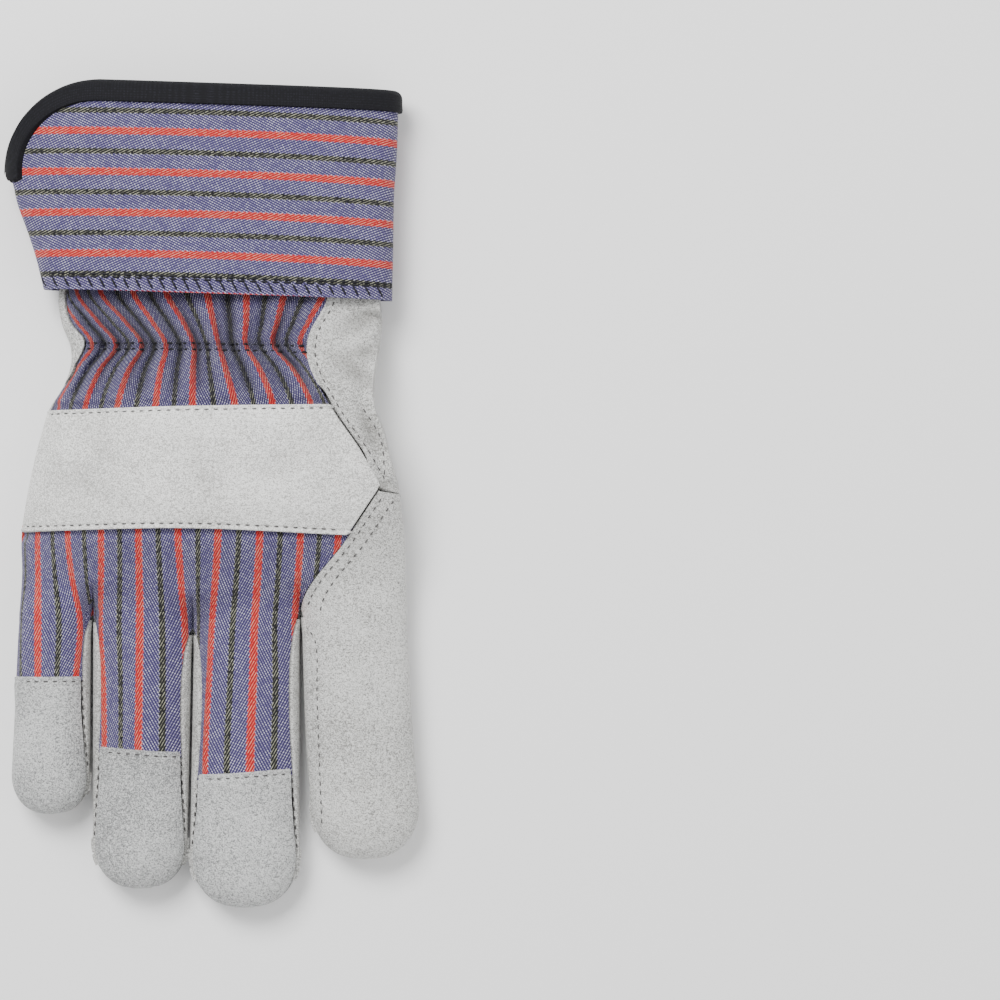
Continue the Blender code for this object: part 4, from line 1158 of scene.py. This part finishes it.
def wrist_back():
    """Gathered fabric of the wrist. Folds follow the stripes: a cosine of the stripe count, raised to a power
    for a sharp valley, times the depth and strongest at the elastic."""
    columns = np.linspace(0, 1, 421)[None, :]
    edge = station_y(row(STRAP_EDGES, "high", columns))
    rows = ends(150)[:, None]
    top = station_y(1.075)
    y = edge - TUCK_LENGTH + (top - edge + TUCK_LENGTH) * rows
    left = left_wrap(y) + HALF_GAP / HAND_WIDTH + 0.004
    right = seam_share(FABRIC_RIGHT, y, -1) - 0.004
    share = left + (right - left) * columns
    grid = back(share, y)
    x = grid[..., 0]
    count = stripe_count(WRIST_STRIPES, x, y)
    off = (y_station(y) - ELASTIC_STATION) * HAND_LENGTH
    reach, far, pinch = ridge(off, 0.017), ridge(off, 0.030), ridge(off, 0.0016)
    uneven = 0.75 + 0.25 * np.sin(2.3 * count + 1.0)
    deep = uneven * (0.5 + 0.5 * np.cos(2 * math.pi * (count - 0.5))) ** 3
    small = (1.4 - uneven) * (0.5 + 0.5 * np.cos(2 * math.pi * (count - 0.13))) ** 4
    tuck = smooth((y - edge) / 0.006)
    side = smooth(columns / 0.06) * smooth((1 - columns) / 0.06)
    folds = (far * deep + reach * small) * tuck * side
    lift = FOLD_DEPTH * (0.35 * far * tuck * side - folds) - 0.0008 * pinch + 0.0004 * tuck
    # Painted shade: darkest in the fold valleys, along the elastic's pinch and around the elastic, with a
    # little over the whole wrist. It goes into the marks' third value.
    shade = np.clip(0.12 + 0.95 * folds + 0.10 * far + 0.25 * pinch, 0, 1)
    lift = grid[..., 2] + lift - tuck_depth(x, y, y - edge)
    grid[..., 2] = np.maximum(lift, middle_height(x, y) + HALF_GAP)
    marks = np.stack([stripe_count(WRIST_STRIPES, unrolled(grid), y), y + 0 * x, shade], axis=-1)
    return one_grid("wrist_fabric", grid[::-1], FABRIC * 0.5, "back_fabric", marks[::-1])


def finger_back():
    """Fabric from under the strap over the backs of three fingers. The hand's columns are those of the
    fingers."""
    skin = Skin(FABRIC * 0.5)
    angle = np.linspace(math.pi, 0, FINGER_STEPS + 1)
    names = ("little", "ring", "middle")
    apart = {"little": (0.0, 0.0), "ring": (0.0, 0.0), "middle": (0.0, BACK_SEAM_GAP / 2)}
    places = [finger_angle_places(FINGERS[n], angle, apart[n])[(n != "little"):] for n in names]
    places = np.concatenate(places)
    columns = place_share(places)
    fixed = 2 * FINGER_STEPS
    edge = station_y(row(STRAP_EDGES, "low", columns))
    start = edge + TUCK_LENGTH
    lines = []
    for r in np.concatenate([np.linspace(0, 0.3, 16), np.linspace(0.32, 1, 40)]):
        y = start + (crotch_y(places) - start) * r
        seam = seam_share(INDEX_SEAM, y[-1], -SEAM_TIGHT) if r < 1 else columns[-1]
        share = columns.copy()
        root, moved = columns[fixed], columns[fixed:] - columns[fixed]
        share[fixed:] = root + moved * (seam - root) / (columns[-1] - root)
        points = back(share, y)
        x = points[:, 0]
        drop = tuck_depth(x, y, edge - y - EDGE_CLEAR)
        points[:, 2] = np.maximum(points[:, 2] - drop, middle_height(x, y) + HALF_GAP)
        lines.append(points)
    grid = np.array(lines)
    skin.add(grid, back_marks(HAND_STRIPES, grid))
    for n in names:
        rows = finger_rows(0.0, FINGERS[n]["cap"] + 0.03, False, 50)
        sides = (1, 0) if n == "little" else (1, 1)
        grid = finger_grid(FINGERS[n], rows, sides, True, apart[n])[:, ::-1]
        skin.add(grid, back_marks(HAND_STRIPES, grid))
    return skin.build("finger_fabric", MATERIAL["back_fabric"])


def finger_cap(name):
    """Leather cap over the back of a fingertip, a little proud of the fabric, with a rolled top edge."""
    finger = FINGERS[name]
    rows = finger_rows(finger["cap"], 1.0, True, 46)
    sides = (1, 0) if name == "little" else (1, 1)
    grid = finger_grid(finger, rows, sides, True)[:, ::-1]
    down = run_length(grid, 0)
    lift = 0.0007 * smooth(1 - down / 0.012) - 0.00025 * ridge(down - 0.0017, 0.0005)
    grid = grid + grid_normals(grid) * lift[..., None]
    grid = roll_edges(grid, ("top",), 0.0009, 0.0010)
    grid = roll_edges(grid, ("left", "right"), 0.0012, 0.0012)
    return one_grid(name + "_cap_leather", grid, LEATHER * 0.5, "leather_cool")


def finger_front(name):
    """Front of the ring or middle finger, the lower half of its section."""
    finger = FINGERS[name]
    rows = finger_rows(0.0003 / finger["length"], 1.0, True, 60)
    grid = finger_grid(finger, rows, (1, 1), False)
    return one_grid(name + "_front_leather", grid, LEATHER * 0.5, "leather_cool")


def fourchette(name, finger, side):
    """Leather strip along the side of a finger, a long leaf pointed at the crotch and at the tip."""
    lines = []
    for along in 0.03 + 0.90 * ends(70):
        v = min(along / STRAIGHT_SHARE, 1.0)
        tip = math.asin(max(along - STRAIGHT_SHARE, 0.0) / TIP_SHARE)
        above, below = strip_widths(along)
        angle = np.linspace(STRIP_GAP - below, max(above - STRIP_GAP, STRIP_GAP - below), 15)
        lines.append(finger_points(FINGERS[finger], v, tip, math.pi - angle if side < 0 else angle))
    grid = roll_edges(np.array(lines), ("left", "right"), 0.0012, 0.0009, -side)
    return one_grid(name + "_leather", grid, LEATHER * 0.5, "leather", flip=side > 0)


def palm_leather():
    """Palm from the cuff to the crotches, the little finger's front and the whole of the index finger."""
    skin = Skin(LEATHER * 0.6)
    angle = np.linspace(-math.pi, 0, FINGER_STEPS + 1)
    places = [finger_angle_places(finger, angle)[:-1] for finger in FINGERS.values()]
    columns = place_share(np.append(np.concatenate(places), CROTCH_X[-1]))
    root = len(columns) - 2
    lines = []
    for station in np.concatenate([np.linspace(1.08, 0.90, 26), np.linspace(0.89, SPLIT, 70)]):
        y = station_y(station)
        wrap = left_wrap(y) - SEAM_GAP / 2 / HAND_WIDTH
        side = palm(0.0, y)
        folded = back(np.linspace(1.0, 0.05, 20) * max(wrap, 0.0), y)
        folded = side + (folded - side) * min(max(wrap, 0.0) / 0.02, 1.0)
        lines.append(np.vstack([folded, palm(columns[: root + 1] * root_share(y) / columns[root], y)]))
    skin.add(np.array(lines), flip=True)

    first = float(root_share(station_y(SPLIT)) / columns[root])
    span = CROTCHES["place"][-1] - CROTCHES["place"][0]
    places = (CROTCHES["place"][0] + columns * span) * HALF_WIDTH
    top = station_y(np.where(columns < 1, SPLIT, SPLIT_EDGE)) - np.where(columns < 1, 0.0, SEAM_GAP)
    down = np.linspace(0, 1, 60)
    lines = []
    for r in down:
        y = top + (crotch_y(places) - top) * r
        lines.append(palm(columns * np.where(columns < 1, first + (1 - first) * r, 1.0), y))
    skin.add(np.array(lines), flip=True)

    upper = np.linspace(0, math.pi, FINGER_STEPS + 1)
    apart = (BACK_SEAM_GAP / 2, 0.0)
    index_places = finger_angle_places(FINGERS["index"], upper, apart)
    edge = station_y(SPLIT_EDGE + (INDEX_TOP - SPLIT_EDGE) * np.linspace(0, 1, len(upper))) - SEAM_GAP
    lines = []
    for r in down:
        y = edge + (crotch_y(index_places) - edge) * r
        seam = seam_share(INDEX_SEAM, y[-1], SEAM_TIGHT)
        start = place_share(index_places[-1])
        share = 1 - (1 - place_share(index_places)) / (1 - start) * (1 - seam)
        points = back(share, y)
        points[0] = palm(1.0, y[0])
        lines.append(points)
    skin.add(np.array(lines), flip=True)

    rows = finger_rows(0.0, 1.0, True, 60)
    skin.add(finger_grid(FINGERS["index"], rows, (0, 1), True, apart), flip=True)
    skin.add(finger_grid(FINGERS["index"], rows, (0, 1), False))
    skin.add(finger_grid(FINGERS["little"], rows, (1, 0), False))
    return skin.build("palm_and_index_leather", MATERIAL["leather"])


def thumb_ring(n):
    """Closed section of the thumb at place n along its outline, between the rows of the table."""
    key = np.arange(len(THUMB_SIDES["height"]))
    table = {"n": key, **THUMB_SIDES}
    inner = np.array([row(table, "inner_x", n) * HALF_WIDTH, station_y(row(table, "inner_y", n))])
    outer = np.array([row(table, "outer_x", n) * HALF_WIDTH, station_y(row(table, "outer_y", n))])
    around = np.linspace(0, math.pi, 45)
    q = (0.5 - 0.5 * np.cos(around))[:, None]
    plan = inner + (outer - inner) * q
    half = thumb_height(plan[:, 1]) * row(table, "height", n) / 2
    middle = floor_height(plan[:, 1]) + thumb_height(plan[:, 1]) / 2
    lower = stack(plan[:, 0], plan[:, 1], middle - half * bulge(np.cos(around)))
    upper = stack(plan[:, 0], plan[:, 1], middle + half * bulge(np.cos(around)))
    return lower, np.vstack([lower, upper[::-1][1:]])


def thumb():
    """Thumb under the palm, and the wing that wraps the thumb side: rows from the thumb's root out to the
    side on a quarter of the hand's section, then over the back to the fabric's seam."""
    skin = Skin(LEATHER * 0.6)
    last = len(THUMB_SIDES["height"]) - 1
    rings = [thumb_ring(n)[1] for n in np.linspace(0, last, 110)]
    tip = np.array([THUMB_TIP[0] * HALF_WIDTH, THUMB_TIP[1] * HAND_LENGTH, THUMB_HEIGHT / 2])
    close = [rings[-1] + (tip - rings[-1]) * t for t in (0.25, 0.5, 0.75, 0.92, 1.0)]
    for t, ring in zip((0.25, 0.5, 0.75, 0.92), close):
        ring[:, 2] = tip[2] + (rings[-1][:, 2] - tip[2]) * math.sqrt(1 - t * t)
    skin.add(np.array(rings + close), flip=True)

    root = thumb_ring(0)[0]
    q = 0.5 - 0.5 * np.cos(np.linspace(0, math.pi, 45))
    fine = np.linspace(0, 1, 150)
    root = np.stack([np.interp(fine, q, root[:, k]) for k in range(3)], axis=1)
    edge_y = station_y(WING_TOP + (SPLIT_EDGE - WING_TOP) * fine)
    back_y = station_y(WING_TOP + (INDEX_TOP + 0.006 - WING_TOP) * fine)
    edge = stack(edge_right(edge_y), edge_y, middle_height(edge_right(edge_y), edge_y))
    wing = []
    for t in ends(40, low=False):
        plan = root + (edge - root) * t
        plan[:, 2] = edge[:, 2] - (edge[:, 2] - root[:, 2]) * (1 - t**HAND_ROUNDING) ** (1 / HAND_ROUNDING)
        wing.append(plan)
    station = y_station(back_y)
    cover = smooth((station - 0.70) / 0.04) + 1 - smooth((station - 0.46) / 0.05)
    seam = seam_share(FABRIC_RIGHT, back_y, 1) - cover * SEAM_COVER / HAND_WIDTH
    over = []
    for t in np.append(np.linspace(0, 0.9, 50)[1:], np.linspace(0.91, 1.0, 12)):
        y = edge_y + (back_y - edge_y) * t
        x = share_x(1 + (seam - 1) * t, y)
        z = top_height(x, y) + 0.0003 * smooth(t / 0.1) + 0.0005 * cover * smooth((t - 0.9) / 0.06)
        over.append(stack(x, y, z))
    over = np.array(over)
    fade = smooth(np.linspace(0, 1, len(over)) / 0.15)[:, None, None]
    over = over + (fold_back(over, WING_CREASES) - over) * fade
    over = roll_edges(over, ("bottom",), 0.0009, 0.0007)
    grid = np.concatenate([np.array(wing), over])
    # The marks' third value is painted shade in the wing's creases.
    skin.add(grid, crease_marks(grid, WING_CREASES, 0.9))
    return skin.build("thumb_leather", MATERIAL["leather"])


# Stitches, each a short thread that dips at both ends.


def path_run(path):
    """Distance travelled at each point of a path."""
    return np.concatenate([[0.0], np.cumsum(np.linalg.norm(np.diff(path, axis=0), axis=1))])


def at_run(at, run, path):
    """Points of a path at these distances along it, straight between its own points."""
    return np.stack([np.interp(at, run, path[:, k]) for k in range(3)], axis=1)


def resample(path, spacing):
    """Places along a plan path at even distances."""
    path = np.column_stack([path, np.zeros(len(path))])
    run = path_run(path)
    return at_run(np.arange(0, run[-1], spacing), run, path)[:, :2]


def threads(starts, ends_at, up, radius):
    """Rings round the line from each start to its end: a circle of the radius, pushed along up by a low arch
    that dips under the surface at both ends."""
    count, rings = len(starts), len(THREAD_DIP)
    t = np.linspace(0, 1, rings)[None, :, None]
    run = ends_at - starts
    arch = (np.array(THREAD_DIP) * radius)[None, :, None]
    line = starts[:, None] + run[:, None] * t + up[:, None] * arch
    side = unit(np.cross(unit(run), up))
    angle = np.linspace(0, 2 * math.pi, THREAD_SIDES, endpoint=False)
    ring = side[:, None] * np.cos(angle)[None, :, None] + up[:, None] * np.sin(angle)[None, :, None]
    thick = radius * np.array(THREAD_THICK)
    points = line[:, :, None] + ring[:, None] * thick[None, :, None, None]
    number = np.arange(count * rings * THREAD_SIDES).reshape(count, rings, THREAD_SIDES)
    a, b = number[:, :-1], number[:, 1:]
    a_next, b_next = np.roll(a, -1, axis=2), np.roll(b, -1, axis=2)
    tubes = [np.stack(corners, -1).reshape(-1, 3) for corners in ([a, a_next, b_next], [a, b_next, b])]
    first, last = number[:, 0], number[:, -1]
    caps = [np.stack([first[:, 0], first[:, k + 1], first[:, k]], -1) for k in range(1, THREAD_SIDES - 1)]
    caps += [np.stack([last[:, 0], last[:, k], last[:, k + 1]], -1) for k in range(1, THREAD_SIDES - 1)]
    return points.reshape(-1, 3), np.vstack([*tubes, *caps])


def drape(trees, plan, side):
    """Points and outward normals where upright lines through a plan path first meet the glove, from above
    (side 1) or from below (side -1)."""
    points, normals = [], []
    for x, y in plan:
        start = Vector((x + SHIFT[0], y + SHIFT[1], 0.1 * side))
        hits = [tree.ray_cast(start, Vector((0, 0, -side))) for tree in trees]
        hits = [hit for hit in hits if hit[0] is not None]
        if hits:
            place, normal, _, _ = min(hits, key=lambda hit: hit[3])
            points.append(place)
            normals.append(normal)
    return np.array(points), np.array(normals)


def running_stitch(trees, lines, side, length, gap):
    """Starts, ends and upward directions of threads of one length, with gaps between, along plan paths."""
    starts, stops, ups = [], [], []
    for line in lines:
        points, normals = drape(trees, resample(line, 0.0005), side)
        run = path_run(points)
        at = np.arange(gap, run[-1] - length, length + gap)
        starts.append(at_run(at, run, points))
        stops.append(at_run(at + length, run, points))
        ups.append(at_run(at + length / 2, run, normals))
    return np.vstack(starts), np.vstack(stops), np.vstack(ups)


def slant_stitch(trees, line, side, step, reach, lean):
    """Overlock threads across a plan path: one every step, reach long and leaning along the path."""
    at = resample(line, step)
    low, low_up = drape(trees, at, side)
    high, high_up = drape(trees, at + np.array([lean, reach]), side)
    count = min(len(low), len(high))
    return low[:count], high[:count], (low_up[:count] + high_up[:count]) / 2


def thread_piece(name, parts, material, radius):
    """One piece of all the threads given, lifted to lie on the surface."""
    starts, stops, ups = (np.vstack([part[k] for part in parts]) for k in range(3))
    points, faces = threads(starts - SHIFT, stops - SHIFT, unit(ups), radius)
    return place_piece(name, points, faces, material)


def polyline(points_mm):
    """A soft path through a few points in millimetres: each column is a cubic through the rows."""
    points = np.array(points_mm, float) / 1000
    t = np.linspace(0, len(points) - 1, 40 * len(points))
    table = {"t": np.arange(len(points)), "x": points[:, 0], "y": points[:, 1]}
    return np.column_stack([row(table, "x", t), row(table, "y", t)])


def cap_line(name, inset):
    """Path across a fingertip cap, inset from its top edge."""
    finger = FINGERS[name]
    angle = np.linspace(0.62, math.pi - 0.62, 40)
    points = finger_points(finger, finger["cap"], 0.0, angle)
    return points[:, :2] - np.array([0, inset])


def cap_seam(name, side):
    """Path down a cap, just inside its side seam, to where the tip turns down."""
    lines = []
    for v in np.linspace(FINGERS[name]["cap"], 1.0, 30):
        above, _ = strip_widths(along_finger(v, 0.0))
        angle = above + 0.05
        angle = math.pi - angle if side < 0 else angle
        lines.append(finger_points(FINGERS[name], v, 0.0, np.array([angle]))[0, :2])
    return np.array(lines)


def across_strap(edge, inset):
    """Path along the strap, inset from its lower or upper edge."""
    share = np.linspace(0.012, 0.985, 200)
    y = station_y(row(STRAP_EDGES, edge, share)) + inset
    table = FABRIC_RIGHT if edge == "high" else INDEX_SEAM
    x = share_x(share * seam_share(table, y[-1], -1), y)
    return np.column_stack([x, y])


def beside(table, offset, low, high):
    """Path beside a back seam, offset across from it, between two stations."""
    y = station_y(np.linspace(low, high, 120))
    return np.column_stack([row(table, "place", y_station(y)) * HALF_WIDTH + offset, y])


def hem_path(start, end, up):
    """Path along the cuff's hem, up from it, between two places across in millimetres."""
    x = np.linspace(start, end, 120) / 1000
    return np.column_stack([x, hem_y(x) + up])


def patch_outline(inset):
    """Path round the cuff patch, inset from its edge, from the hem on one side to the hem on the other."""
    share = np.linspace(0.05, 0.50, 60)
    left = row(PATCH, "left", share) * CUFF_WIDTH / 2 + inset
    right = row(PATCH, "right", share) * CUFF_WIDTH / 2 - inset
    y = share * CUFF_LENGTH - inset * smooth((share - 0.3) / 0.2)
    x = np.concatenate([left, right[::-1]])
    return np.column_stack([x, hem_y(x) + np.concatenate([y, y[::-1]])])


def stitches(pieces):
    """Every seam's threads: dark grey in the leather, black in the cloth."""
    trees = [tree_of(piece) for piece in pieces]
    lines = [across_strap("low", STITCH_INSET["low"]), across_strap("high", -STITCH_INSET["high"])]
    lines += [cap_line(name, 0.0017) for name in ("little", "ring", "middle")]
    caps = (("little", 1), ("ring", 1), ("ring", -1), ("middle", 1), ("middle", -1))
    lines += [cap_seam(name, side) for name, side in caps]
    lines += [beside(FABRIC_RIGHT, 0.0017, 0.42, 1.0)]
    lines += [beside(INDEX_SEAM, 0.0024, 0.02, 0.39), beside(INDEX_SEAM, 0.0066, 0.0, 0.37)]
    lines += [polyline(((47.4, 66.2), (51.5, 60.0), (54.1, 54.0), (55.0, 41.5)))]
    lines += [polyline(((29.2, -3.0), (33.0, -9.4), (33.3, -25.0), (34.0, -45.0), (34.9, -68.9)))]
    above = running_stitch(trees, lines, 1, STITCH, STITCH_GAP)
    lines = [patch_outline(0.0018), hem_path(-48, 13, 0.0035), hem_path(-50, 17, 0.0080)]
    lines += [polyline(((-36.5, -1.6), (-22, -3.4), (-7, -4.6), (8, -3.2), (25, -1.0)))]
    below = running_stitch(trees, lines, -1, STITCH, STITCH_GAP)
    thread_piece("leather_stitches", [above, below], MATERIAL["thread_grey"], THREAD)
    elastic = [polyline(((-40.4, 86.3), (-4, 85.9), (31.4, 84.9)))]
    elastic += [polyline(((-40.6, 84.3), (-4, 83.8), (31.6, 82.9)))]
    hem = [hem_path(-52, 57, up) for up in (0.0050, 0.0041)]
    cloth = [running_stitch(trees, elastic, 1, 0.0024, 0.0007)]
    cloth += [running_stitch(trees, hem, 1, 0.0030, 0.0006)]
    cloth += [slant_stitch(trees, hem_path(-52, 57, 0.0003), 1, 0.0038, 0.0040, -0.0022)]
    cloth += [running_stitch(trees, [hem_path(17, 56, 0.0046)], -1, 0.0030, 0.0005)]
    cloth += [slant_stitch(trees, hem_path(17, 56, 0.0004), -1, 0.0033, 0.0040, -0.0016)]
    thread_piece("cloth_stitches", cloth, MATERIAL["thread_black"], THREAD * 1.5)


def tree_of(obj):
    """Search tree of a piece's triangles, in the frame's coordinates."""
    mesh = obj.data
    points = [v.co for v in mesh.vertices]
    return BVHTree.FromPolygons(points, [tuple(p.vertices) for p in mesh.polygons])


# Floor, lights and camera.

VIEW_CENTRE = Vector((FRAME_MIDDLE[0] + SHIFT[0], FRAME_MIDDLE[1] + SHIFT[1], 0.0))


def plane(name, size, z, material):
    """A level square."""
    mesh = bpy.data.meshes.new(name)
    corners = [(x * size / 2, y * size / 2, z) for x, y in ((-1, -1), (1, -1), (1, 1), (-1, 1))]
    mesh.from_pydata(corners, [], [(0, 1, 2, 3)])
    mesh.materials.append(material)
    return new_object(name, mesh)


def area_light(name, place, size, power):
    """A soft square light that looks at the glove."""
    data = bpy.data.lights.new(name, "AREA")
    data.energy, data.size = power, size
    obj = new_object(name, data)
    obj.location = place
    obj.rotation_euler = (VIEW_CENTRE - Vector(place)).to_track_quat("-Z", "Y").to_euler()


def camera():
    """Straight above the glove with a long lens, framed as the photograph is."""
    data = bpy.data.cameras.new("camera")
    data.lens, data.sensor_width = 36 * CAMERA_HEIGHT / VIEW_WIDTH, 36
    obj = new_object("camera", data)
    obj.location = (VIEW_CENTRE.x, VIEW_CENTRE.y, CAMERA_HEIGHT)
    bpy.context.scene.camera = obj


def stage():
    """Floor, a key light and a fill light, an even pale sky, and the camera."""
    plane("floor", 6.0, FLOOR_Z, MATERIAL["floor"])
    area_light("key", (-0.35, 0.6, 1.15), 0.6, 24.0)
    area_light("fill", (0.9, -0.3, 0.9), 1.2, 4.0)
    world = bpy.data.worlds.new("world")
    world.use_nodes = True
    world.node_tree.nodes["Background"].inputs["Color"].default_value = (1.0, 1.0, 1.0, 1.0)
    world.node_tree.nodes["Background"].inputs["Strength"].default_value = 0.75
    bpy.context.scene.world = world
    camera()


# The strips between the fingers, each with its finger and its side: 1 is towards the thumb.
FOURCHETTES = {
    "little_fourchette": ("little", 1),
    "ring_fourchette_little_side": ("ring", -1),
    "ring_fourchette_thumb_side": ("ring", 1),
    "middle_fourchette_little_side": ("middle", -1),
    "middle_fourchette_thumb_side": ("middle", 1),
    "index_fourchette": ("index", -1),
}
PIECES = {
    "cuff": cuff(),
    "cuff_binding": cuff_binding(),
    "cuff_patch": cuff_patch(),
    "wrist_back": wrist_back(),
    "knuckle_strap": knuckle_strap(),
    "finger_back": finger_back(),
    "palm_leather": palm_leather(),
    "thumb": thumb(),
}
for finger_name in ("little", "ring", "middle"):
    PIECES[finger_name + "_tip"] = finger_cap(finger_name)
for finger_name in ("ring", "middle"):
    PIECES[finger_name + "_front"] = finger_front(finger_name)
for node_name, (finger_name, side_sign) in FOURCHETTES.items():
    PIECES[node_name] = fourchette(node_name, finger_name, side_sign)
for node_name, piece in PIECES.items():
    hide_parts(node_name)
stitches(list(PIECES.values()))
stage()
